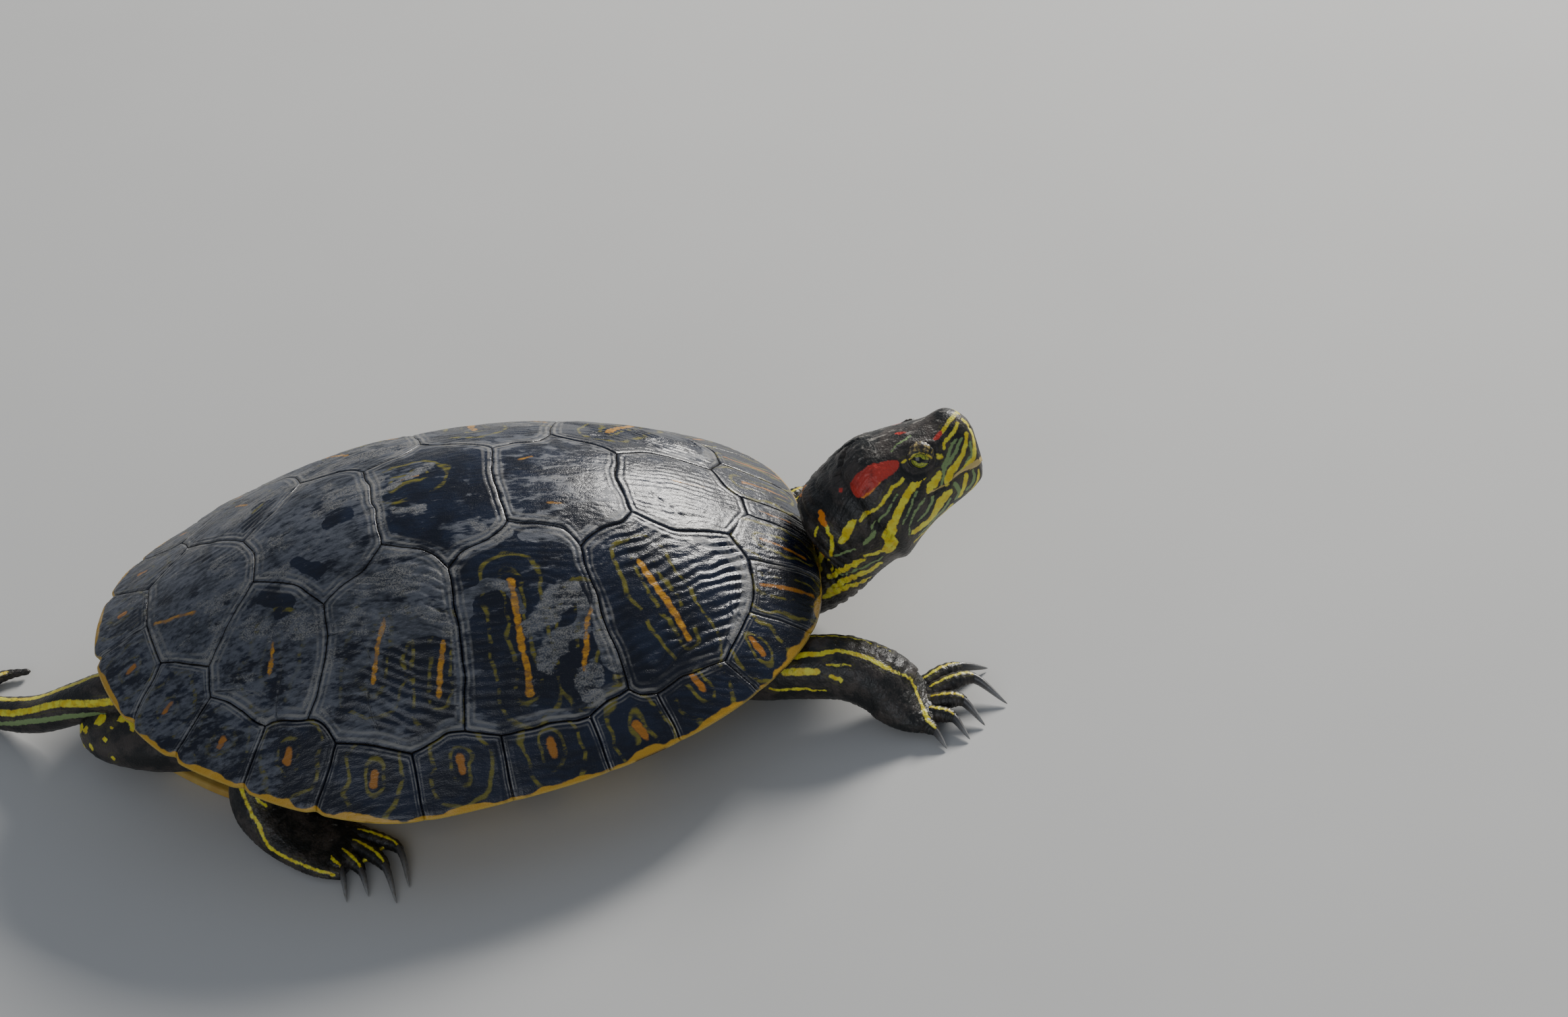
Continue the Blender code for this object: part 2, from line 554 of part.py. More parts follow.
def add_ball(name, centre, radius, rings, sides, kind):
    """A closed ball with its poles out to the sides."""
    loops = []
    for r in range(1, rings):
        reach = radius * math.sin(math.pi * r / rings)
        offset = -radius * math.cos(math.pi * r / rings)
        angle = 2 * math.pi * np.arange(sides) / sides
        loops.append(np.column_stack([reach * np.cos(angle), np.full(sides, offset), reach * np.sin(angle)]))
    loops = [from_head(loop + np.array(centre)) for loop in loops]
    pole = radius * (1 - math.cos(math.pi / rings))
    return loft(name, loops, kind, nose=pole, tail=pole)


def build_head():
    """Skull with the upper beak, the lower jaw, and the two eyes set in their sockets."""
    rings = [head_ring(*row) for row in smooth_path(HEAD_STATIONS, 2)]
    head = loft("head", rings[::-1], "skin", nose=0.5)
    jaw = loft("lower_jaw", rings[::-1], "skin", nose=0.5)

    def below_mouth(drop):
        def place(corners):
            slanted = [(x, y, z + MOUTH_SLOPE * min(x, 0.0) - drop) for x, y, z in corners]
            return from_head(slanted)
        return place

    keep = add_box("jaw_keep", (MOUTH_CORNER_X + GAP, -30.0, -40.0), (8.0, 30.0, 0.0), below_mouth(GAP))
    drop = add_box("jaw_drop", (MOUTH_CORNER_X, -31.0, -41.0), (9.0, 31.0, 0.0), below_mouth(0.0))
    cut(jaw, keep, "INTERSECT")
    cut(head, drop)
    for side, sign in (("left", 1.0), ("right", -1.0)):
        x, y, z = EYE_PLACE
        centre = (x, sign * y, z)
        add_ball("eye_" + side, centre, EYE_RADIUS, 6, 12, "eye")
        socket = add_ball("socket_" + side, centre, EYE_RADIUS + GAP, 6, 12, "eye")
        cut(head, socket)


def build_neck():
    """The thick folded neck, rising steeply in front of the rim to the back of the head."""
    rings = []
    for top_x, top_z, low_x, low_z, half_width, y in NECK_STATIONS:
        top, low = np.array([top_x, y, top_z]), np.array([low_x, y, low_z])
        middle, half = 0.5 * (top + low), 0.5 * np.linalg.norm(top - low)
        up = (top - low) / np.linalg.norm(top - low)
        flat = section(half_width, half, -half, HEAD_SIDES)
        rings.append(middle + flat[:, :1] * np.array([0.0, 1.0, 0.0]) + flat[:, 1:] * up)
    x, half_width, top, bottom, shear = HEAD_STATIONS[-1]
    rings.append(head_ring(x - GAP, half_width, top, bottom, shear))
    return loft("neck", rings, "skin")


# ---------------------------------------------------------------------------------------------- limbs

def mirror_path(rows, stride, tuck):
    """A limb's rows on the left side, with the whole foot moved by the stride and in by the tuck."""
    out = np.array(rows, dtype=float)
    out[:, 1] *= -1.0
    share = np.clip(np.arange(len(out)) / FOOT_ROW, 0.0, 1.0) ** 0.4
    out[:, 0] += stride * share
    out[:, 1] -= tuck * share
    return out


def build_limb(prefix, side, rows, clip):
    """One limb as a smooth sweep, parted by thin cuts; returns the foot."""
    path = smooth_path(rows, SPAN_STEPS)
    marks = (0, SPAN_STEPS * KNEE_ROW, SPAN_STEPS * FOOT_ROW, len(path) - 1)
    solids = []
    for name, start, stop in zip(LEG_NAMES, marks, marks[1:]):
        rings = sweep_rings(path, LIMB_SIDES, LIMB_POWER, start, stop)
        nose = 2.0 if name == "foot" else 0.0
        solids.append(loft(f"{prefix}_{name}_{side}", rings, "skin", nose=nose, floor=0.0))
    cut(solids[0], clip)
    return solids[-1]


def add_digits(foot, digits, name):
    """Join the digits with their claws to the foot."""
    for i, (root, knuckle, claw_root, tip, radius) in enumerate(digits):
        rows = [(*root, radius, radius), (*knuckle, radius * 0.95, radius * 0.9),
                (*claw_root, radius * 0.62, radius * 0.6), (*tip, CLAW_TIP_RADIUS, CLAW_TIP_RADIUS)]
        path = smooth_path(rows, SPAN_STEPS)
        path[:, 2] = np.maximum(path[:, 2], path[:, 4] * 0.5 + 0.35)
        rings = sweep_rings(path, DIGIT_SIDES, 2.0)
        digit = loft(f"{name}_digit_{i + 1}", rings, "skin", nose=0.5, floor=0.0)
        cut(foot, digit, "UNION")


def build_limbs(clip):
    """Four legs, each parted into upper leg, lower leg and foot with its digits."""
    for prefix, rows, digits, stride, tuck in (
            ("fore", FORE_ROWS, FORE_DIGITS, FORE_STRIDE_LEFT, FORE_TUCK_LEFT),
            ("hind", HIND_ROWS, HIND_DIGITS, HIND_STRIDE_LEFT, 0.0)):
        add_digits(build_limb(prefix, "right", rows, clip), digits, f"{prefix}_right")
        placed = [tuple([(x + stride, -y - tuck, z) for x, y, z in digit[:4]] + [digit[4]]) for digit in digits]
        add_digits(build_limb(prefix, "left", mirror_path(rows, stride, tuck), clip), placed, f"{prefix}_left")


def build_clearance():
    """The trunk grown by the gap, which trims whatever grows out of the body."""
    clearance = build_trunk("trunk_clearance")
    grow = clearance.modifiers.new("grow", "DISPLACE")
    grow.strength = GAP * MM
    grow.mid_level = 0.0
    return clearance


def build_tail(clip):
    """The long tail in two lengths."""
    path = smooth_path(TAIL_ROWS, SPAN_STEPS)
    split = SPAN_STEPS * TAIL_SPLIT_ROW
    base = loft("tail_base", sweep_rings(path, LIMB_SIDES, LIMB_POWER, 0, split), "skin", floor=0.0)
    cut(base, clip)
    rings = sweep_rings(path, LIMB_SIDES, LIMB_POWER, split, len(path) - 1)
    loft("tail_tip", rings, "skin", nose=1.0, floor=0.0)


# ---------------------------------------------------------------------------------------------- assembly

def clear_scene():
    """Start from an empty scene."""
    for leftover in list(bpy.data.objects):
        bpy.data.objects.remove(leftover, do_unlink=True)


def main():
    """Build every part of the turtle."""
    clear_scene()
    build_nuchal()
    build_vertebrals()
    for side in ("left", "right"):
        build_pleurals(side)
        build_marginals(side)
    build_plastron()
    build_trunk()
    build_head()
    build_neck()
    clearance = build_clearance()
    build_limbs(clearance)
    build_tail(clearance)


main()
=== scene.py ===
"""Red-eared slider turtle: the looks of the still, life-size model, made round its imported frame.

The frame faces +X with its left side at +Y and its plastron on the floor. Sizes are millimetres until a
mesh is made. Shell plates are thin closed solids over one dome formula, the flesh is one skin of lofted
bodies, and every stripe, bar and spot is a smooth distance kept at the points, which the finishes read.
"""
from __future__ import annotations

import logging
import math
from dataclasses import dataclass, field
from enum import Enum
from functools import cached_property

import bpy
import numpy as np
from mathutils import Matrix

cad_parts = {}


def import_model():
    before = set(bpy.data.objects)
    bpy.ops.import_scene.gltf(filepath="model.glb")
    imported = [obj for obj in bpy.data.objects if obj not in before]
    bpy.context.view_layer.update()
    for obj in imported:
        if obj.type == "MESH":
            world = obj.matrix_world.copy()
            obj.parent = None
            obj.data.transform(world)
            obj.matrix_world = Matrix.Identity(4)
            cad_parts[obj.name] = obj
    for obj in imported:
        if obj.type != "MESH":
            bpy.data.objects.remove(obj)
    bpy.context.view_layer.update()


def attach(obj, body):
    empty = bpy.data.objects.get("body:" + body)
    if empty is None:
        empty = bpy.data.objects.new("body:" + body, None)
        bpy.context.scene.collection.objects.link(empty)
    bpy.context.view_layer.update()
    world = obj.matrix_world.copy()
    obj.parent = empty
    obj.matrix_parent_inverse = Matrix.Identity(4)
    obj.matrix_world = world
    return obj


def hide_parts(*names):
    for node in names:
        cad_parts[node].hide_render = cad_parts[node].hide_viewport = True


MM = 0.001
UV_LAYER = "OFBake"
FAR = 9.0                       # a distance, in mm, that stands for "nowhere near"
RIM_MM = 90.0                   # how many mm the shell's ring number, 0 to 1, stands for near the rim
BODY = "root"
Array = np.ndarray
Triple = tuple[float, float, float]     # a colour or a place
log = logging.getLogger("slider")


class Coat(Enum):
    """What lies on a patch of horn."""

    FILM = "film"
    CRUST = "crust"
    BARE = "bare"


class Tint(Enum):
    """The colours of the skin's markings, each the name of the distance field that holds it."""

    YELLOW = "yellow"
    OLIVE = "olive"
    RED = "red"
    ORANGE = "orange"


class Side(Enum):
    """The two sides of the animal, each with its sign along Y."""

    LEFT = 1.0
    RIGHT = -1.0

    @property
    def word(self) -> str:
        """The side's name in lower case."""
        return self.name.lower()


# ---------------------------------------- numbers

def smooth(value: Array) -> Array:
    """Rise from 0 at 0 to 1 at 1 along 3t^2 - 2t^3, level outside.

    Args:
        value: any array.

    Returns:
        The eased array.
    """
    t = np.clip(value, 0.0, 1.0)
    return t * t * (3.0 - 2.0 * t)


def bell(value: Array, width: float) -> Array:
    """A bell curve, 1 at 0, that has fallen to 1/e at the width."""
    return np.exp(-(value / width) ** 2)


def unit(vector: Array) -> Array:
    """A vector, or each of several, at length 1."""
    return vector / np.maximum(np.linalg.norm(vector, axis=-1, keepdims=True), 1e-9)


def lattice(cells: Array, seed: int) -> Array:
    """Give each whole-numbered cell of space its own random number.

    Args:
        cells: whole numbers, three for each cell.
        seed: picks the set of random numbers.

    Returns:
        Numbers from 0 to 1, the same for the same cell and seed.
    """
    k = cells.astype(np.int64).astype(np.uint32)
    mixed = (k[..., 0] * np.uint32(73856093)) ^ (k[..., 1] * np.uint32(19349663))
    mixed = mixed ^ (k[..., 2] * np.uint32(83492791)) ^ np.uint32(seed * 2654435761 % 2 ** 32)
    mixed = (mixed ^ (mixed >> np.uint32(13))) * np.uint32(1274126177)
    mixed = mixed ^ (mixed >> np.uint32(16))
    return (mixed & np.uint32(0xFFFFFF)) / float(0xFFFFFF)


def grain(points: Array, size: float, seed: int, octaves: int = 1) -> Array:
    """Smooth random relief: lattice numbers blended between the corners of each cube, octave on octave.

    Args:
        points: places in mm, three numbers each.
        size: edge of the largest cubes in mm.
        seed: picks the pattern.
        octaves: how many halvings of the size are added, each at half the strength.

    Returns:
        Numbers from about -1 to 1.
    """
    total, strength, weight_sum = 0.0, 1.0, 0.0
    for octave in range(octaves):
        scaled = points / (size / 2 ** octave)
        base = np.floor(scaled)
        t = smooth(scaled - base)
        blended = 0.0
        for corner in np.ndindex(2, 2, 2):
            weight = np.prod(np.where(np.array(corner) == 1, t, 1.0 - t), axis=-1)
            blended = blended + weight * lattice(base + np.array(corner), seed + octave)
        total = total + strength * (2.0 * blended - 1.0)
        weight_sum += strength
        strength *= 0.5
    return total / weight_sum


def scale_cells(points: Array, size: float, seed: int) -> tuple[Array, Array]:
    """Part space into rounded cells round jittered seeds, as small scales part the skin.

    Args:
        points: places in mm, three numbers each.
        size: mean distance between seeds in mm.
        seed: picks the pattern.

    Returns:
        How far each point is from the nearest border between cells, 0 on it and about 1 in the middle,
        and a random number from 0 to 1 for its cell.
    """
    scaled = points / size
    base = np.floor(scaled)
    first = np.full(scaled.shape[:-1], 9.0)
    second = first.copy()
    number = np.zeros_like(first)
    for corner in np.ndindex(3, 3, 3):
        cell = base + np.array(corner) - 1.0
        jitter = np.stack([lattice(cell, seed + 7 * k) for k in range(3)], axis=-1)
        away = np.linalg.norm(cell + 0.15 + 0.7 * jitter - scaled, axis=-1)
        nearer = away < first
        second = np.where(nearer, first, np.minimum(second, away))
        number = np.where(nearer, jitter[..., 0], number)
        first = np.where(nearer, away, first)
    return np.clip((second - first) * 1.6, 0.0, 1.0), number


def read_curve(stations: Array, at: Array) -> Array:
    """Read a Catmull-Rom curve through stations at any places.

    Args:
        stations: one row, or one whole ring of points, for each station.
        at: the places, counted in stations from 0.

    Returns:
        One row, or ring, for each place.
    """
    rows = np.asarray(stations, dtype=float)
    padded = np.concatenate([2 * rows[:1] - rows[1:2], rows, 2 * rows[-1:] - rows[-2:-1]])
    span = np.clip(np.floor(at).astype(int), 0, len(rows) - 2)
    t = (at - span).reshape((-1,) + (1,) * (rows.ndim - 1))
    before, here, there, after = (padded[span + k] for k in range(4))
    return 0.5 * (2 * here + (there - before) * t + (2 * before - 5 * here + 4 * there - after) * t ** 2
                  + (3 * here - before - 3 * there + after) * t ** 3)


def through(stations: Array, steps: int) -> Array:
    """The same curve with this many steps for each span, the last station included."""
    return read_curve(stations, np.arange((len(stations) - 1) * steps + 1) / steps)


def near_line(points: Array, line: Array) -> Array:
    """Distance of points from a polyline, in as many dimensions as both have.

    Args:
        points: the places, one row each.
        line: the corners of the polyline.

    Returns:
        The distance of each point.
    """
    best = np.full(len(points), np.inf)
    for start, end in zip(line, line[1:]):
        run = end - start
        share = np.clip((points - start) @ run / max(float(run @ run), 1e-12), 0.0, 1.0)
        best = np.minimum(best, np.linalg.norm(points - start - share[:, None] * run, axis=1))
    return best


# ---------------------------------------- meshes

@dataclass
class Body:
    """A closed body: its points, faces, the places of its corners on the bake map, and its fields."""

    points: Array
    quads: Array
    quad_map: Array
    tris: Array = field(default_factory=lambda: np.zeros((0, 3), dtype=int))
    tri_map: Array = field(default_factory=lambda: np.zeros((0, 3, 2)))
    fields: dict[str, Array] = field(default_factory=dict)

    def outwards(self) -> Body:
        """Turn the faces so that they point out, told by the sign of the enclosed volume.

        Returns:
            The body itself.
        """
        corners = np.concatenate([self.quads[:, :3], self.quads[:, [0, 2, 3]], self.tris])
        a, b, c = (self.points[corners[:, k]] for k in range(3))
        if np.einsum("ij,ij->i", a, np.cross(b, c)).sum() < 0:
            self.quads, self.quad_map = self.quads[:, ::-1], self.quad_map[:, ::-1]
            self.tris, self.tri_map = self.tris[:, ::-1], self.tri_map[:, ::-1]
        return self

    def on_map(self, left: float, low: float, right: float, high: float) -> Body:
        """Move the body's part of the bake map into a box of it.

        Args:
            left: left edge of the box.
            low: its lower edge.
            right: its right edge.
            high: its upper edge.

        Returns:
            The body itself.
        """
        size = np.array([right - left, high - low])
        self.quad_map = self.quad_map * size + (left, low)
        self.tri_map = self.tri_map * size + (left, low)
        return self


def join(bodies: list[Body]) -> Body:
    """Put several bodies into one, point after point.

    Args:
        bodies: the bodies; a field that one of them lacks counts as FAR there.

    Returns:
        The joined body.
    """
    starts = np.cumsum([0] + [len(body.points) for body in bodies])
    names = sorted({name for body in bodies for name in body.fields})
    fields = {name: np.concatenate([body.fields.get(name, np.full(len(body.points), FAR)) for body in bodies])
              for name in names}
    return Body(np.concatenate([body.points for body in bodies]),
                np.concatenate([body.quads + start for body, start in zip(bodies, starts)]),
                np.concatenate([body.quad_map for body in bodies]),
                np.concatenate([body.tris + start for body, start in zip(bodies, starts)]),
                np.concatenate([body.tri_map for body in bodies]), fields)


def grid_faces(rows: int, columns: int) -> tuple[Array, Array]:
    """Faces of a grid of points and their places on a unit square.

    Args:
        rows: how many rows of points.
        columns: how many points in a row.

    Returns:
        The quads, four point numbers each, and the four map places of each.
    """
    i, j = np.meshgrid(np.arange(rows - 1), np.arange(columns - 1), indexing="ij")
    i, j = i.ravel(), j.ravel()
    corner_rows = np.stack([i, i, i + 1, i + 1], axis=1)
    corner_columns = np.stack([j, j + 1, j + 1, j], axis=1)
    places = np.stack([corner_columns / (columns - 1), corner_rows / (rows - 1)], axis=-1)
    return corner_rows * columns + corner_columns, places


def tube(rings: Array, nose: float = 0.0, tail: float = 0.0) -> Body:
    """Close rings of equal size into a body whose two ends are drawn out to a point.

    Args:
        rings: an array of rings of points.
        nose: how far the last ring's middle is pushed out, in mm.
        tail: the same for the first ring.

    Returns:
        The body, whose first points are the rings' own, ring after ring, and whose last two are the ends.
    """
    count, sides = rings.shape[:2]
    quads, places = grid_faces(count, sides + 1)
    rows, columns = quads // (sides + 1), quads % (sides + 1)
    quads = rows * sides + columns % sides
    middles = rings.mean(axis=1)
    start = middles[0] + tail * unit(middles[0] - middles[1])
    end = middles[-1] + nose * unit(middles[-1] - middles[-2])
    points = np.concatenate([rings.reshape(-1, 3), start[None], end[None]])
    s = np.arange(sides)
    after = (s + 1) % sides
    low = np.stack([np.full(sides, count * sides), after, s], axis=1)
    high = np.stack([np.full(sides, count * sides + 1), (count - 1) * sides + s, (count - 1) * sides + after], axis=1)
    margin = 0.02
    places[..., 1] = margin + (1 - 2 * margin) * places[..., 1]
    low_map = np.stack([np.stack([(s + 0.5) / sides, np.zeros(sides)], 1),
                        np.stack([(s + 1) / sides, np.full(sides, margin)], 1),
                        np.stack([s / sides, np.full(sides, margin)], 1)], axis=1)
    high_map = np.stack([np.stack([(s + 0.5) / sides, np.ones(sides)], 1),
                         np.stack([s / sides, np.full(sides, 1 - margin)], 1),
                         np.stack([(s + 1) / sides, np.full(sides, 1 - margin)], 1)], axis=1)
    return Body(points, quads, places, np.concatenate([low, high]), np.concatenate([low_map, high_map]))


def ring_normals(rings: Array) -> Array:
    """Outward directions at the points of rings: the cross product of the runs along and round them.

    Args:
        rings: an array of rings of points.

    Returns:
        One unit vector for each point.
    """
    around = np.roll(rings, -1, axis=1) - np.roll(rings, 1, axis=1)
    along = np.gradient(rings, axis=0)
    normals = unit(np.cross(around, along))
    outwards = ((rings - rings.mean(axis=1, keepdims=True)) * normals).sum()
    return normals if outwards > 0 else -normals


def plate(top: Array, bottom: Array) -> Body:
    """A closed plate between two grids of equal size, the bottom below the top.

    Args:
        top: grid of points of the upper face.
        bottom: grid of points of the lower face.

    Returns:
        The plate, whose first points are the top's and the next ones the bottom's.
    """
    rows, columns = top.shape[:2]
    count = rows * columns
    quads, places = grid_faces(rows, columns)
    index = np.arange(count).reshape(rows, columns)
    border = np.concatenate([index[0, :-1], index[:-1, -1], index[-1, :0:-1], index[:0:-1, 0]])
    after = np.roll(border, -1)
    skirt = np.stack([border, count + border, count + after, after], axis=1)
    share = np.arange(len(border)) / len(border)
    step = 1.0 / len(border)
    top_high, low_start, low_high, skirt_start = 0.68, 0.70, 0.26, 0.97
    brim, end = np.full_like(share, skirt_start), np.ones_like(share)
    skirt_map = np.stack([np.stack([share, brim], 1), np.stack([share, end], 1),
                          np.stack([share + step, end], 1), np.stack([share + step, brim], 1)], axis=1)
    top_map = places * (1.0, top_high)
    low_map = places[:, ::-1] * (1.0, low_high) + (0.0, low_start)
    return Body(np.concatenate([top.reshape(-1, 3), bottom.reshape(-1, 3)]),
                np.concatenate([quads, quads[:, ::-1] + count, skirt]),
                np.concatenate([top_map, low_map, skirt_map]))


def make_piece(name: str, body: Body, finish: bpy.types.Material) -> bpy.types.Object:
    """Put a body into Blender as one piece that rides on the frame.

    Args:
        name: the piece's name.
        body: its points, in mm, and faces.
        finish: the material it wears.

    Returns:
        The new object.
    """
    body.outwards()
    mesh = bpy.data.meshes.new(name)
    mesh.vertices.add(len(body.points))
    mesh.vertices.foreach_set("co", (body.points * MM).astype(np.float32).ravel())
    corners = np.concatenate([body.quads.ravel(), body.tris.ravel()])
    mesh.loops.add(len(corners))
    mesh.loops.foreach_set("vertex_index", corners.astype(np.int32))
    quad_starts = np.arange(len(body.quads)) * 4
    tri_starts = len(body.quads) * 4 + np.arange(len(body.tris)) * 3
    mesh.polygons.add(len(body.quads) + len(body.tris))
    mesh.polygons.foreach_set("loop_start", np.concatenate([quad_starts, tri_starts]).astype(np.int32))
    mesh.update(calc_edges=True)
    layer = mesh.uv_layers.new(name=UV_LAYER)
    places = np.concatenate([body.quad_map.reshape(-1, 2), body.tri_map.reshape(-1, 2)])
    layer.data.foreach_set("uv", places.astype(np.float32).ravel())
    for key, values in body.fields.items():
        stored = mesh.attributes.new(key, "FLOAT", "POINT")
        stored.data.foreach_set("value", np.asarray(values, dtype=np.float32))
    mesh.shade_smooth()
    mesh.materials.append(finish)
    piece = bpy.data.objects.new(name, mesh)
    bpy.context.scene.collection.objects.link(piece)
    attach(piece, BODY)
    log.info("%s: %d faces", name, len(body.quads) * 2 + len(body.tris))
    return piece


# ---------------------------------------- finishes

class Signal:
    """A number or colour that a material's nodes hand on; arithmetic on it adds Math nodes."""

    def __init__(self, recipe: Recipe, socket: bpy.types.NodeSocket) -> None:
        """Wrap a node's output."""
        self.recipe, self.socket = recipe, socket

    def maths(self, operation: str, other: Signal | float = 0.0) -> Signal:
        """The signal and another one put through a Math node."""
        return self.recipe.node("ShaderNodeMath", {0: self, 1: other}, 0, operation=operation)

    def __add__(self, other: Signal | float) -> Signal:
        """The sum."""
        return self.maths("ADD", other)

    def __sub__(self, number: float) -> Signal:
        """The signal less a number."""
        return self.maths("ADD", -number)

    def __mul__(self, other: Signal | float) -> Signal:
        """The product."""
        return self.maths("MULTIPLY", other)

    def __abs__(self) -> Signal:
        """The distance from 0."""
        return self.maths("ABSOLUTE")

    def eased(self, low: float, high: float, to_low: float = 0.0, to_high: float = 1.0) -> Signal:
        """The signal eased from one range to another; low may be above high.

        Args:
            low: where the signal begins to change.
            high: where it ends.
            to_low: what it is at low.
            to_high: what it is at high.

        Returns:
            The eased signal.
        """
        ends = {"From Min": low, "From Max": high, "To Min": to_low, "To Max": to_high}
        return self.recipe.node("ShaderNodeMapRange", {"Value": self, **ends}, "Result",
                                interpolation_type="SMOOTHSTEP")


class Recipe:
    """A material under construction: short names for the shader nodes that the finishes are mixed from."""

    def __init__(self, name: str) -> None:
        """Start an empty Principled material.

        Args:
            name: the material's name.
        """
        self.material = bpy.data.materials.new(name)
        self.material.use_nodes = True
        self.tree = self.material.node_tree
        self.place = self.node("ShaderNodeTexCoord", {}, "Object")

    def node(self, kind: str, inputs: dict[str | int, object], output: str | int, **settings: object) -> Signal:
        """Add a node.

        Args:
            kind: the node's type.
            inputs: what its inputs get, by name or number.
            output: the output that is handed on.
            **settings: its properties, which are set first.

        Returns:
            The output.
        """
        node = self.tree.nodes.new(kind)
        for key, value in settings.items():
            setattr(node, key, value)
        for key, value in inputs.items():
            self.feed(node.inputs[key], value)
        return Signal(self, node.outputs[output])

    def feed(self, socket: bpy.types.NodeSocket, value: object) -> None:
        """Link a signal to a socket, or write a number or colour into it.

        Args:
            socket: the input.
            value: what it gets.
        """
        if isinstance(value, Signal):
            self.tree.links.new(value.socket, socket)
        else:
            socket.default_value = (*value, 1.0) if socket.type == "RGBA" else value

    def read(self, name: str) -> Signal:
        """The field of this name that the mesh carries."""
        return self.node("ShaderNodeAttribute", {}, "Fac", attribute_type="GEOMETRY", attribute_name=name)

    def noise(self, size: float, detail: float = 3.0, stretch: Triple = (1.0, 1.0, 1.0),
              roughness: float = 0.5) -> Signal:
        """Cloudy noise.

        Args:
            size: how wide its largest clouds are in mm.
            detail: how many finer layers it has.
            stretch: how much longer the clouds are along each axis.
            roughness: how strong the finer layers are.

        Returns:
            A number that wavers about 0.5.
        """
        place = self.node("ShaderNodeMapping", {"Vector": self.place, "Scale": tuple(1.0 / s for s in stretch)},
                          "Vector")
        return self.node("ShaderNodeTexNoise", {"Vector": place, "Scale": 1.0 / (size * MM), "Detail": detail,
                                                "Roughness": roughness}, "Fac")

    def cells(self, size: float, smoothness: float = 0.2) -> Signal:
        """Distance inside rounded cells about this many mm across."""
        return self.node("ShaderNodeTexVoronoi", {"Vector": self.place, "Scale": 1.0 / (size * MM),
                                                  "Smoothness": smoothness}, "Distance", feature="SMOOTH_F1")

    def mix(self, share: Signal, first: Signal | Triple, second: Signal | Triple) -> Signal:
        """The first colour where the share is 0 and the second where it is 1."""
        return self.node("ShaderNodeMix", {0: share, 6: first, 7: second}, 2, data_type="RGBA")

    def bump(self, height: Signal, depth: float, under: Signal | None = None) -> Signal:
        """A fine relief of this depth in mm, laid over another one where given."""
        below = {} if under is None else {"Normal": under}
        return self.node("ShaderNodeBump", {"Height": height, "Distance": depth * MM, **below}, "Normal")

    def finish(self, **values: object) -> bpy.types.Material:
        """Fill the shader's sockets.

        Args:
            **values: what each gets, by its name with underscores for spaces.

        Returns:
            The material.
        """
        surface = self.tree.nodes["Principled BSDF"]
        for key, value in values.items():
            self.feed(surface.inputs[key.replace("_", " ")], value)
        return self.material


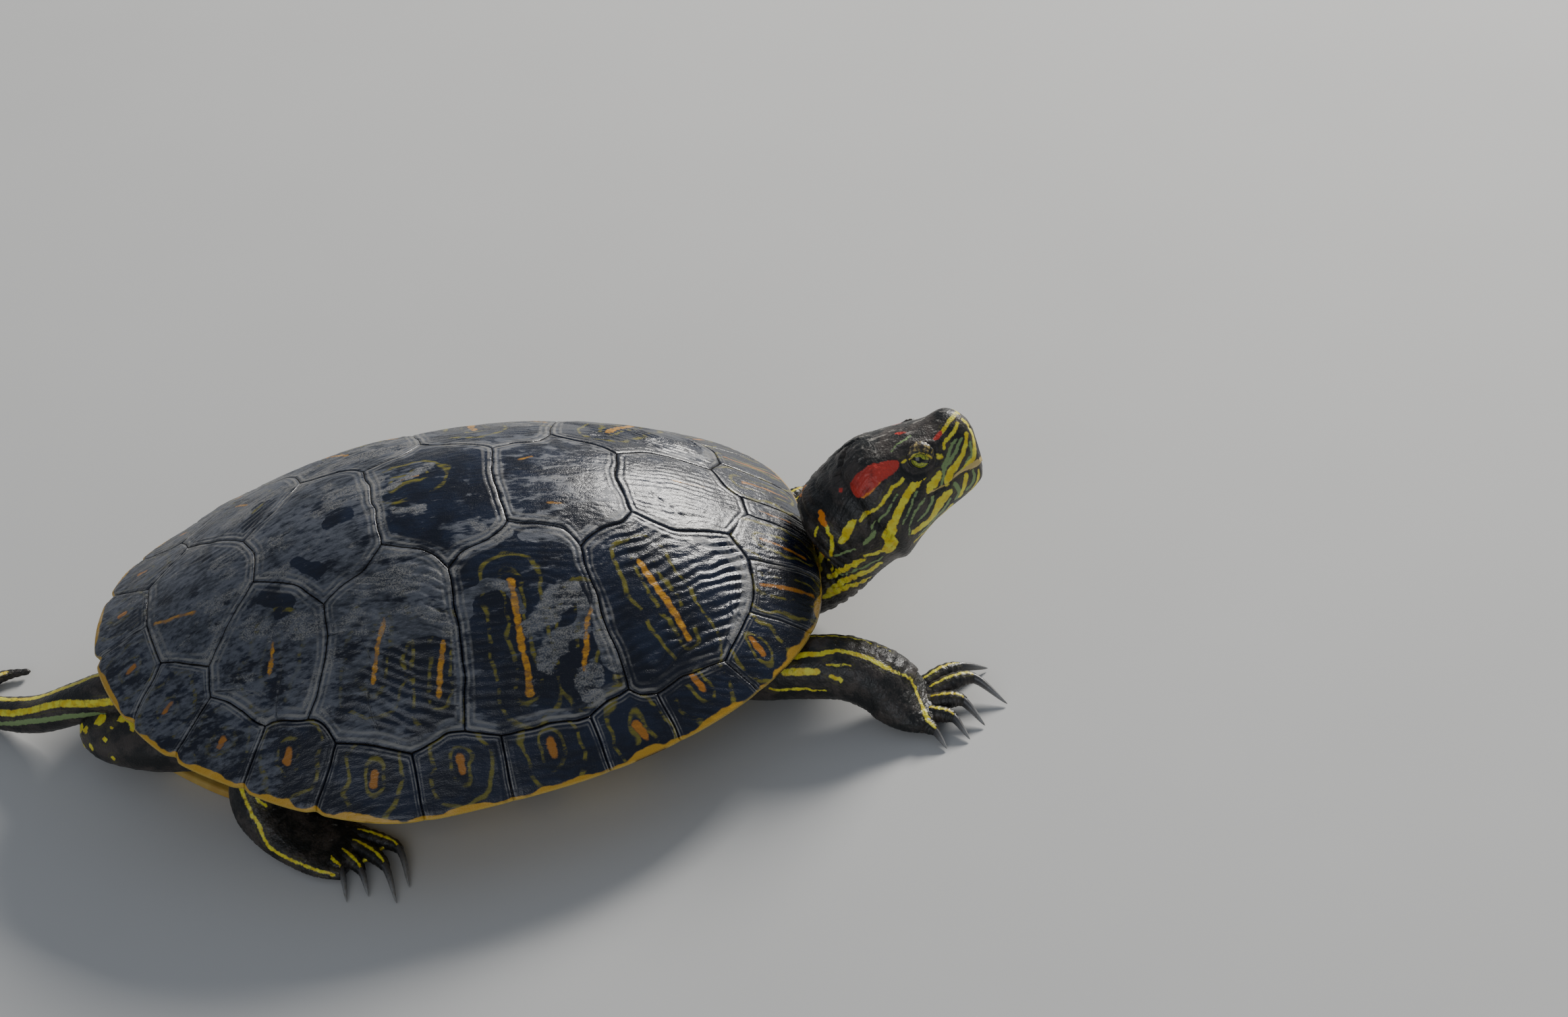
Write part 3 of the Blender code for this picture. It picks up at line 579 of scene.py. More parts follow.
@dataclass(frozen=True)
class HornFinish:
    """Blue-black horn of the carapace: olive lines, orange bars, and a dried grey film over it."""

    name: str = "scute_horn"
    black: Triple = (0.0024, 0.0046, 0.0130)
    blue: Triple = (0.0065, 0.0120, 0.0300)
    line: Triple = (0.170, 0.150, 0.016)
    bar: Triple = (0.56, 0.27, 0.016)
    bar_dark: Triple = (0.24, 0.11, 0.014)
    spot: Triple = (0.34, 0.135, 0.014)
    film: Triple = (0.034, 0.040, 0.053)
    film_pale: Triple = (0.098, 0.107, 0.130)
    crust: Triple = (0.230, 0.222, 0.205)
    groove: Triple = (0.006, 0.006, 0.008)
    rim: Triple = (0.50, 0.28, 0.020)
    underside: Triple = (0.50, 0.36, 0.075)
    blotch: Triple = (0.02, 0.017, 0.012)
    line_spacing: float = 3.1

    def build(self) -> bpy.types.Material:
        """Mix the finish.

        Returns:
            The material, which reads the fields edge, bar, ring, film, crust, rim, wave and under.
        """
        r = Recipe(self.name)
        clouds, dust = r.noise(12.0, 4.0), r.noise(0.45, 3.0)
        streaks = r.noise(3.4, 5.0, (3.6, 1.0, 1.0), 0.62)
        flecks = r.noise(1.5, 4.0, (3.0, 1.0, 1.0), 0.65)
        ring, edge, wave = r.read("ring"), r.read("edge"), r.read("wave")
        # The base is a little bluer on the wrinkles' crests: painted light on the crests
        colour = r.mix((clouds + wave * 0.06).eased(0.40, 0.62), self.black, self.blue)
        # Olive lines at even distances round the bars, broken between the streaks, and faded in the wrinkles' valleys
        # as painted shade
        wavy = ring + (clouds - 0.5) * 5.0 + (streaks - 0.5) * 1.5
        phase = (wavy * (1.0 / self.line_spacing)).maths("PINGPONG", 1.0)
        line = phase.eased(0.70, 0.90) * (streaks + clouds * 0.6).eased(0.70, 0.84)
        line = line * (ring.eased(13.0, 10.0) * ring.eased(1.8, 2.4)) * wave.eased(-0.9, 0.2, 0.35, 1.0)
        colour = r.mix(line * 0.9, colour, self.line)
        # Bars with ragged sides, redder on the marginals
        ragged = (streaks - 0.5) * 2.6 + wave * 0.10
        bar = (r.read("bar") + ragged).eased(0.20, -0.45)
        amber = r.mix(flecks.eased(0.38, 0.66), self.bar, self.bar_dark)
        amber = r.mix(r.read("crust").eased(-0.4, -0.9), amber, self.spot)
        colour = r.mix(bar, colour, amber)
        # Grey film in flecks, and sandy crust on it
        mottle = streaks * 0.55 + (clouds * 0.25 + flecks * 0.20)
        film = (r.read("film") + (mottle - 0.5) * 3.4).eased(0.34, 0.62) * flecks.eased(0.30, 0.46, 0.25, 1.0)
        grey = r.mix((flecks + clouds * 0.5).eased(0.62, 0.90), self.film, self.film_pale)
        colour = r.mix(film * bar.eased(0.0, 1.0, 0.92, 0.35), colour, grey)
        thick = (r.read("film") + (r.noise(9.0, 6.0, (1.6, 1.0, 1.0), 0.6) - 0.5) * 5.0).eased(0.95, 1.35)
        sand = (r.read("crust") + (flecks - 0.5) * 3.4).eased(0.40, 0.95)
        crust = (film * thick).maths("MAXIMUM", sand)
        colour = r.mix(crust * dust.eased(0.42, 0.60, 0.02, 0.70), colour, self.crust)
        # Pale worn ridges beside the dark groove of a seam
        ridges = abs(edge - 1.15).eased(0.60, 0.15).maths("MAXIMUM", abs(edge - 2.9).eased(0.65, 0.1) * 0.6)
        worn = (streaks + clouds * 0.5).eased(0.62, 0.86, 0.10, 0.80)
        colour = r.mix(ridges * worn, colour, self.crust)
        colour = r.mix(edge.eased(0.26, 0.04), colour, self.groove)
        # Yellow edge of the shell, and its yellow underside with one dark blotch to a plate
        colour = r.mix((r.read("rim") + (clouds - 0.5) * 4.0).eased(0.45, 0.05), colour, self.rim)
        blotch = (ring + (clouds - 0.5) * 7.0).eased(7.5, 6.0)
        colour = r.mix(r.read("under"), colour, r.mix(blotch * 0.92, self.underside, self.blotch))
        rough = film.eased(0.0, 1.0, 0.25, 0.46) + dust.eased(0.3, 0.7, -0.05, 0.08)
        relief = r.bump(dust, 0.05, r.bump(flecks, 0.16, r.bump(streaks, 0.30)))
        return r.finish(Base_Color=colour, Roughness=rough, Normal=relief, Specular_IOR_Level=0.5)


@dataclass(frozen=True)
class SkinFinish:
    """Black scaly skin with yellow, olive, orange and red markings, horn on the jaws, pale scuffs and a painted sky
    sheen on top.
    """

    name: str = "slider_skin"
    dark: Triple = (0.0125, 0.0130, 0.0125)
    brown: Triple = (0.056, 0.046, 0.040)
    gap: Triple = (0.006, 0.006, 0.006)
    yellow: Triple = (0.74, 0.70, 0.055)
    yellow_deep: Triple = (0.66, 0.50, 0.018)
    yellow_gap: Triple = (0.10, 0.07, 0.006)
    olive: Triple = (0.20, 0.29, 0.115)
    thread: Triple = (0.085, 0.085, 0.022)
    red: Triple = (0.50, 0.040, 0.026)
    red_deep: Triple = (0.275, 0.022, 0.0143)
    orange: Triple = (0.72, 0.22, 0.012)
    horn: Triple = (0.40, 0.30, 0.065)
    horn_pale: Triple = (0.58, 0.44, 0.17)
    # pale grey of the scuffs, also laid on upward-facing skin as painted sky sheen
    scuff: Triple = (0.30, 0.28, 0.25)

    def build(self) -> bpy.types.Material:
        """Mix the finish.

        Returns:
            The material, which reads the markings' fields, and horn, cell and the field of pale scuffs and painted sky
            sheen.
        """
        r = Recipe(self.name)
        clouds, fine, dust = r.noise(7.0, 4.0), r.noise(0.9, 4.0, roughness=0.6), r.noise(0.35, 2.0)
        cell = r.read("cell")
        frayed = (fine - 0.5) * 0.95 + (r.noise(2.2, 2.0) - 0.5) * 0.9

        def marked(name: str, base: Signal, tint: Signal | Triple, soft: float = 0.26) -> Signal:
            """The base with a tint laid over it where the field of this name, frayed, is below 0."""
            return r.mix((r.read(name) + frayed).eased(soft, -soft), base, tint)

        colour = r.mix((clouds + (fine - 0.5) * 0.3).eased(0.40, 0.66), self.dark, self.brown)
        colour = r.mix(cell.eased(0.28, 0.0, 0.0, 0.55), colour, self.gap)
        # Dull threads beside the yellow stripes, then the markings
        beside = abs(r.read(Tint.YELLOW.value) - 1.05) + frayed
        threads = beside.eased(0.34, 0.06) * clouds.eased(0.46, 0.60)
        colour = r.mix(threads * 0.55, colour, self.thread)
        colour = marked(Tint.OLIVE.value, colour, self.olive, 0.22)
        gold = r.mix(r.noise(2.6, 3.0).eased(0.36, 0.66), self.yellow, self.yellow_deep)
        gold = r.mix(cell.eased(0.22, 0.0, 0.0, 0.45), gold, self.yellow_gap)
        colour = marked(Tint.YELLOW.value, colour, gold)
        colour = marked(Tint.ORANGE.value, colour, self.orange)
        blood = r.mix(r.noise(3.2, 4.0).eased(0.45, 0.75), self.red, self.red_deep)
        colour = marked(Tint.RED.value, colour, blood)
        jaw = r.mix(clouds.eased(0.40, 0.66), self.horn, self.horn_pale)
        colour = marked("horn", colour, jaw, 0.22)
        # Pale scuffs on the tops of the scales, with a painted sky sheen on skin that faces up
        worn = r.read("scuff") + (r.noise(1.6, 5.0, (2.4, 1.0, 1.0), 0.7) - 0.5) * 2.8
        worn = worn.eased(0.55, 0.95) * cell.eased(0.08, 0.40)
        colour = r.mix(worn * 0.8, colour, self.scuff)
        rough = worn.eased(0.0, 1.0, 0.40, 0.66) + fine.eased(0.3, 0.7, -0.07, 0.07)
        relief = r.bump(dust, 0.03, r.bump(fine, 0.12, r.bump(r.cells(0.75), 0.10)))
        return r.finish(Base_Color=colour, Roughness=rough, Normal=relief, Specular_IOR_Level=0.45)


@dataclass(frozen=True)
class PlastronFinish:
    """Yellow horn of the belly plate with smoky black blotches and fine growth lines."""

    name: str = "plastron_horn"
    yellow: Triple = (0.62, 0.45, 0.12)
    amber: Triple = (0.45, 0.27, 0.055)
    black: Triple = (0.020, 0.017, 0.014)
    groove: Triple = (0.05, 0.035, 0.018)

    def build(self) -> bpy.types.Material:
        """Mix the finish.

        Returns:
            The material, which reads the fields edge and blotch.
        """
        r = Recipe(self.name)
        clouds, fine, edge = r.noise(14.0, 5.0), r.noise(1.2, 4.0), r.read("edge")
        colour = r.mix(clouds.eased(0.38, 0.66), self.yellow, self.amber)
        smoke = (r.read("blotch") + (clouds - 0.5) * 14.0).eased(1.4, -1.6)
        colour = r.mix(smoke * 0.95, colour, self.black)
        growth = (edge * 0.55).maths("PINGPONG", 1.0)
        colour = r.mix(growth.eased(0.75, 0.98) * 0.25, colour, self.amber)
        colour = r.mix(edge.eased(0.55, 0.15), colour, self.groove)
        relief = r.bump(growth, 0.05, r.bump(fine, 0.08))
        return r.finish(Base_Color=colour, Roughness=fine.eased(0.3, 0.7, 0.32, 0.52), Normal=relief)


@dataclass(frozen=True)
class ClawFinish:
    """Translucent grey-brown horn of the claws, dark at the root and pale at the tip."""

    name: str = "claw_horn"
    root: Triple = (0.050, 0.050, 0.054)
    tip: Triple = (0.24, 0.24, 0.235)
    stain: Triple = (0.09, 0.075, 0.055)

    def build(self) -> bpy.types.Material:
        """Mix the finish.

        Returns:
            The material, which reads the field reach, 0 at the root and 1 at the tip.
        """
        r = Recipe(self.name)
        streaks = r.noise(0.8, 4.0, (1.0, 3.0, 1.0))
        colour = r.mix(r.read("reach").eased(0.15, 0.95), self.root, self.tip)
        colour = r.mix(streaks.eased(0.45, 0.75, 0.0, 0.5), colour, self.stain)
        return r.finish(Base_Color=colour, Roughness=streaks.eased(0.3, 0.7, 0.24, 0.40), Normal=r.bump(streaks, 0.05))


@dataclass(frozen=True)
class EyeFinish:
    """Wet eye: black pupil crossed by a dark bar, in a yellow-green iris with a dark edge."""

    name: str = "slider_eye"
    iris: Triple = (0.22, 0.26, 0.016)
    iris_light: Triple = (0.42, 0.47, 0.040)
    iris_dark: Triple = (0.030, 0.034, 0.006)
    bar: Triple = (0.006, 0.006, 0.004)
    pupil: Triple = (0.002, 0.002, 0.002)
    ball: Triple = (0.010, 0.011, 0.006)

    def build(self) -> bpy.types.Material:
        """Mix the finish.

        Returns:
            The material, which reads the fields pupil and bar.
        """
        r = Recipe(self.name)
        pupil, rays = r.read("pupil"), r.noise(0.5, 3.0)
        colour = r.mix(rays.eased(0.35, 0.65), self.iris, self.iris_light)
        colour = r.mix(r.read("bar").eased(0.16, -0.06), colour, self.bar)
        colour = r.mix(pupil.eased(0.14, -0.04), colour, self.pupil)
        colour = r.mix(abs(pupil - 1.15).eased(0.30, 0.05) * 0.55, colour, self.iris_dark)
        colour = r.mix(pupil.eased(1.9, 2.3), colour, self.ball)
        return r.finish(Base_Color=colour, Roughness=rays.eased(0.0, 1.0, 0.16, 0.22), Coat_Weight=0.25,
                        Coat_Roughness=0.10)


# ---------------------------------------- carapace

@dataclass(frozen=True)
class Dome:
    """The outer surface of the carapace as a formula over the plan, in mm."""

    rim_height: float = 30.0
    rise: float = 55.0
    widest_x: float = -12.0
    front_reach: float = 132.0
    rear_reach: float = 108.0
    half_width: float = 94.0
    front_power: float = 2.18
    rear_power: float = 1.92
    front_lift: float = 0.5
    rear_lift: float = 13.9
    lift_power: float = 2.24
    pole_x: float = 120.0
    front_profile: tuple[float, float] = (2.28, 1.02)
    rear_profile: tuple[float, float] = (1.80, 1.17)
    side_profile: tuple[float, float] = (2.00, 1.17)
    blunt_x: float = 105.0
    bluntness: float = 0.28
    swells: tuple[tuple[float, float, float], ...] = ((-38.0, 20.0, 0.026), (-86.0, 11.0, -0.028),
                                                      (-110.0, 9.0, 0.018))

    def lift(self, x: Array) -> Array:
        """How far the rim stands above its height at the bridge.

        Args:
            x: places along the shell.

        Returns:
            The heights.
        """
        ahead = np.clip(x / self.pole_x, 0, 1) ** self.lift_power
        behind = np.clip(-x / self.pole_x, 0, 1) ** self.lift_power
        return self.front_lift * ahead + self.rear_lift * behind

    def reach(self, bearing: Array) -> tuple[Array, Array]:
        """The outline's reach as a share of its axes, and its length along X, at bearings in radians.

        Args:
            bearing: directions in radians from the front pole.

        Returns:
            The shares and the lengths.
        """
        c, s = np.cos(bearing), np.sin(bearing)
        power = np.where(c > 0, self.front_power, self.rear_power)
        share = (np.abs(c) ** power + np.abs(s) ** power) ** (-1 / power)
        return share, np.where(c > 0, self.front_reach, self.rear_reach)

    def outline(self, start: float, stop: float, count: int) -> Array:
        """Plan points along the outline between two bearings in degrees from the front pole.

        Args:
            start: the first bearing.
            stop: the last one.
            count: steps between them.

        Returns:
            The plan points.
        """
        bearing = np.radians(np.linspace(start, stop, count + 1))
        share, length = self.reach(bearing)
        return np.column_stack([self.widest_x + length * share * np.cos(bearing),
                                self.half_width * share * np.sin(bearing)])

    def ring(self, plan: Array) -> tuple[Array, Array]:
        """Ring number of plan points, 0 in the middle and 1 on the rim, and their bearing in radians.

        Args:
            plan: the points.

        Returns:
            The ring numbers and the bearings.
        """
        x, y = plan[..., 0], plan[..., 1]
        ahead = x > self.widest_x
        u = (x - self.widest_x) / np.where(ahead, self.front_reach, self.rear_reach)
        v = y / self.half_width
        power = np.where(ahead, self.front_power, self.rear_power)
        return np.clip((np.abs(u) ** power + np.abs(v) ** power) ** (1 / power), 0, 1), np.arctan2(v, u)

    def height(self, plan: Array) -> Array:
        """Height of the surface above the floor at plan points.

        Args:
            plan: the points.

        Returns:
            The heights.
        """
        ring, bearing = self.ring(plan)
        share, length = self.reach(bearing)
        c = np.cos(bearing)
        lift = self.lift(self.widest_x + length * share * c)
        front, rear, side = ((1 - ring ** p) ** q for p, q in (self.front_profile, self.rear_profile,
                                                               self.side_profile))
        profile = c ** 2 * np.where(c > 0, front, rear) + (1 - c ** 2) * side
        return self.rim_height + lift + (self.rise - lift) * profile

    def normal(self, plan: Array) -> Array:
        """Outward unit normals at plan points.

        Args:
            plan: the points.

        Returns:
            The unit vectors.
        """
        ring, _ = self.ring(plan)
        pull = np.where(ring > 0.97, 0.97 / np.maximum(ring, 1e-6), 1.0)[..., None]
        middle = np.array([self.widest_x, 0.0])
        plan = middle + (plan - middle) * pull
        step = np.array([0.5, 0.0])
        slope_x = self.height(plan + step) - self.height(plan - step)
        slope_y = self.height(plan + step[::-1]) - self.height(plan - step[::-1])
        return unit(np.stack([-slope_x, -slope_y, np.ones_like(slope_x)], axis=-1))

    def settle(self, points: Array, plan: Array) -> Array:
        """Press the front of the shell blunt and swell the haunches near the rim.

        Args:
            points: points of a plate.
            plan: their plan places.

        Returns:
            The points, moved.
        """
        ring, _ = self.ring(plan)
        swell = sum(amount * np.exp(-((plan[..., 0] - centre) / spread) ** 2)
                    for centre, spread, amount in self.swells)
        out = points.copy()
        out[..., 1] *= 1 + swell * ring ** 6
        over = np.clip(out[..., 0] - self.blunt_x, 0, None)
        out[..., 0] -= self.bluntness * over ** 2 / (self.pole_x - self.blunt_x)
        return out

    def wander(self, plan: Array) -> Array:
        """Bend the plan a little, the same for all plates, so that no seam runs quite straight.

        Args:
            plan: the points.

        Returns:
            The points, moved.
        """
        ring, _ = self.ring(plan)
        place = np.concatenate([plan, np.zeros_like(plan[..., :1])], axis=-1)
        drift = np.stack([grain(place, 9.0, 61, 2), grain(place, 9.0, 67, 2)], axis=-1)
        return plan + 1.1 * drift * (1 - ring ** 10)[..., None]


DOME = Dome()
NUCHAL_CORNER = (96.0, 4.5)
FIRST_CORNER = (88.5, 17.5)
VERTEBRAL_SEAMS = ((58.5, 15.5), (18.5, 18.5), (-23, 19.5), (-65, 10.5))
VERTEBRAL_POINTS = ((39.5, 29.5), (-3, 32), (-44, 31.5))
LAST_CORNER = (-84.0, 31.0)
PLEURAL_FEET = ((44.5, 70), (-8.5, 75.5), (-57, 60.5))
MARGINAL_HEADS = (NUCHAL_CORNER, (92.0, 25.5), (89.0, 44.0), (77.5, 61.0), (54.0, 70.5), (31.0, 76.5),
                  (2.0, 78.5), (-26.5, 78.0), (-49.5, 69.0), (-70.0, 56.5), (-85.5, 40.5), (-98.5, 19.0),
                  (-101.5, 0.0))
RIM_BEARINGS = (3, 13, 28, 44, 59, 70, 84, 98, 117, 131, 147, 160, 180)

# Orange bars of the plates of the right side: start, end and half width; the left side mirrors them.
BARS = {"pleural_1": ((57.5, -35, 67.5, -55.5, 1.3),),
        "pleural_2": ((15.5, -39.5, 14, -69.5, 1.2), (38.5, -49.5, 32.5, -65, .9)),
        "pleural_3": ((-27, -43, -34, -58, .9), (-10, -53.5, -14.5, -66, .9)),
        "pleural_4": ((-62, -36, -66, -44, .7),), "vertebral_1": ((74, 3, 84, 4, .5),),
        "vertebral_2": ((26.5, 9.5, 31, 10.5, .4), (32.5, -13, 37, -13.5, .4)), "vertebral_3": ((-14, 6, -6, 7, .3),),
        "vertebral_4": ((-50, -5, -42, -6, .3),), "vertebral_5": ((-98.5, -2, -86, -8.5, .8),),
        "nuchal": ((101, -.5, 110, 0, .5),), "marginal_1": ((98, -15, 112, -16, .6),),
        "marginal_2": ((94, -33.5, 111, -31.5, .7),), "marginal_3": ((87, -53, 89.5, -56.5, 1.1),),
        "marginal_4": ((66, -66.5, 68, -69, 1.2),), "marginal_5": ((44.5, -79, 46.5, -81.5, 1.4),),
        "marginal_6": ((16.8, -81.5, 17.2, -84, 1.5),), "marginal_7": ((-12, -82, -12.2, -84, 1.5),),
        "marginal_8": ((-39.5, -79.5, -40.5, -81.5, 1.4),), "marginal_9": ((-64, -66, -65.5, -68, 1.3),),
        "marginal_10": ((-84, -54, -85.5, -55.5, 1.1),), "marginal_11": ((-99, -34.5, -101, -35.5, 1),),
        "marginal_12": ((-108, -13.5, -110, -14, 1),)}
RINGLESS = ("vertebral_1", "vertebral_2", "vertebral_4", "vertebral_5", "nuchal")     # plates without olive rings
# Height in mm and spacing in mm of each plate's wrinkles
WRINKLES = {"pleural_1": (.4, 2.8), "pleural_2": (.13, 2.3), "pleural_3": (.24, 2.7), "pleural_4": (.15, 2.2),
            "vertebral_1": (.1, 2.4), "vertebral_2": (.07, 2), "vertebral_3": (.07, 2), "vertebral_4": (.1, 2.2),
            "vertebral_5": (.12, 2.4)}
RIM_BEVEL, RIM_BEVEL_WIDTH = 0.55, 0.9      # how far the rim's two faces draw together at its edge, in mm
# Groove and growth ridges beside a seam: distance from it, width, height, all in mm
SEAM_PROFILE = ((0, .2, -.24), (1.15, .4, .1), (2.1, .35, -.08), (2.9, .45, .07))
# Dried film, sandy crust and bare horn on the plates: runs of x, y and half width
PATCHES = {
    "pleural_1": {
        Coat.FILM: (((77.5, -22, 1.6), (87, -27, 1.8), (90, -38, 2.2), (82, -54, 1.8)),),
    },
    "pleural_2": {
        Coat.FILM: (((-2, -48.5, 1.5), (2, -42, 1.9), (7, -40, 2), (13.5, -41, 2), (16.5, -48, 1.5)),
                    ((35.5, -45.5, 1.8), (36, -51, 2.4), (34, -55, 2.4), (26, -56, 1.4)),
                    ((41, -45.5, 2), (41.5, -52, 2.8), (41.5, -62.5, 3.2)), ((2, -28.5, 2.4), (17, -23, 2.4)),
                    ((23.5, -25.5, 2), (34, -26, 2), (38, -31.5, 1.6))),
        Coat.CRUST: (((34, -43.5, 2.6), (30, -45, 4), (25.5, -48, 3.4)),
                     ((26, -50, 2.8), (21, -52, 3), (17, -54, 2.2)), ((26, -58.5, 2.8), (20.5, -62, 3.2)),
                     ((35.5, -66.5, 3.2), (32.5, -69, 3.6), (34, -72, 3))),
    },
    "pleural_3": {
        Coat.FILM: (((-33.5, -32.5, 5), (-16, -33, 5), (-4, -37.5, 3.5)),
                    ((-39.5, -40.5, 4), (-23, -44, 4.5), (-9, -49, 3.5))),
        Coat.BARE: (((-24, -56.5, 5), (-13, -57, 5), (-18, -66.5, 5.5)),),
    },
    "pleural_4": {
        Coat.FILM: (((-76, -19, 4), (-64.5, -30, 4.5), (-49.5, -36, 4)),),
        Coat.BARE: (((-62, -19, 3), (-56.5, -26, 3), (-58.5, -28.5, 2)),),
    },
    "vertebral_3": {
        Coat.BARE: (((5, 17, 5.5), (16.5, 7.5, 5.5), (13.5, -12, 5.5)), ((4.5, -2.5, 5), (-10, 1.5, 4)),
                    ((-16.5, -14.5, 3), (-8.5, -18, 3))),
        Coat.FILM: (((-20, 14.5, 2.6), (-22.5, -12.5, 2.2)),),
        Coat.CRUST: (((-19.5, 3.5, 1.4), (-11.5, 6, 1.8), (-2, 11.5, 2.2)), ((-15.5, -8, 1.3), (-7, -9.5, 1.6)),
                     ((7, -18.5, 1.6), (9.5, -21, 1.8))),
    },
    "vertebral_4": {
        Coat.CRUST: (((-35, 11, 2.2), (-22.5, 9.5, 3.4)),),
        Coat.BARE: (((-37, -3, 2.4), (-30.5, -2.5, 2.4)), ((-50, -13, 2.2), (-44, -20, 1.8))),
    },
}
FILM_UNDER = {Coat.FILM: 1.15, Coat.CRUST: 0.7, Coat.BARE: -0.35}      # how much film each kind of patch brings
# Cracks between growth rings, as runs of x, y
CRACKS = {"pleural_3": (((-46.5, -41.5), (-34.5, -43), (-25.5, -42.3)), ((-35.5, -46), (-33.5, -52)),
                        ((-36.5, -60), (-36, -70))),
          "pleural_4": (((-83.5, -39.5), (-68.5, -48.5)), ((-61.5, -43), (-66, -54), (-66.5, -63))),
          "vertebral_1": (((66, -5), (75, -14.5)),)}
# Seams that bow: start, end, then how far they bow to the left in mm as one arch and as two opposite ones
SEAM_BOWS = (((58.5, 15.5), (58.5, -15.5), -1.8, -.1), ((18.5, 18.5), (18.5, -18.5), -.8, .2),
             ((-23, 19.5), (-23, -19.5), 1.1, -.1), ((-65, 10.5), (-65, -10.5), 2.1, 0),
             ((58.5, 15.5), (39.5, 29.5), 0, -.7), ((39.5, 29.5), (18.5, 18.5), 2.6, 1.3),
             ((18.5, 18.5), (-3, 32), -1, -1.2), ((-3, 32), (-23, 19.5), 2.2, .6),
             ((-23, 19.5), (-44, 31.5), -1.6, -.9), ((-44, 31.5), (-65, 10.5), 1.6, .3),
             ((88.5, 17.5), (58.5, 15.5), -3.6, 1), ((39.5, 29.5), (44.5, 70), .4, .3),
             ((-3, 32), (-8.5, 75.5), -1.7, .5), ((-44, 31.5), (-57, 60.5), -3.4, -.2),
             ((-8.5, 75.5), (-26.5, 78), .9, .3), ((-49.5, 69), (-57, 60.5), 1.5, 0),
             ((-57, 60.5), (-70, 56.5), .9, -.2), ((96, 4.5), (88.5, 17.5), 1.2, .5), ((92, 25.5), (89, 44), -.8, 0),
             ((54, 70.5), (44.5, 70), -.8, .2))


def run_along(corners: tuple, counts: tuple[int, ...], fineness: int) -> Array:
    """Points along a polyline with a stated number of steps on each of its runs.

    Args:
        corners: the polyline's plan points.
        counts: steps of each run.
        fineness: what every count is multiplied by.

    Returns:
        The points, the last corner included.
    """
    rows = np.asarray(corners, dtype=float)
    runs = [a + (b - a) * np.arange(n * fineness)[:, None] / (n * fineness)
            for a, b, n in zip(rows, rows[1:], counts)]
    return np.concatenate(runs + [rows[-1:]])


def seam_along(corners: tuple, counts: tuple[int, ...], fineness: int) -> Array:
    """The same, with each run bowed as the table of seams says: offset = bow sin(pi t) + sway sin(2 pi t).

    Args:
        corners: the polyline's plan points.
        counts: steps of each run.
        fineness: what every count is multiplied by.

    Returns:
        The points, the last corner included.
    """
    runs = []
    for a, b, n in zip(corners, corners[1:], counts):
        a, b = tuple(float(v) for v in a), tuple(float(v) for v in b)
        t = np.arange(n * fineness + 1) / (n * fineness)
        run = np.array(a) + np.outer(t, np.subtract(b, a))
        for start, end, bow, sway in SEAM_BOWS:
            if {start, end} == {a, b}:
                along = unit(np.subtract(end, start))
                share = t if start == a else 1 - t
                offset = bow * np.sin(math.pi * share) + sway * np.sin(2 * math.pi * share)
                run = run + np.outer(offset, (-along[1], along[0]))
        runs.append(run[:-1])
    return np.concatenate(runs + [np.asarray(corners[-1:], dtype=float)])


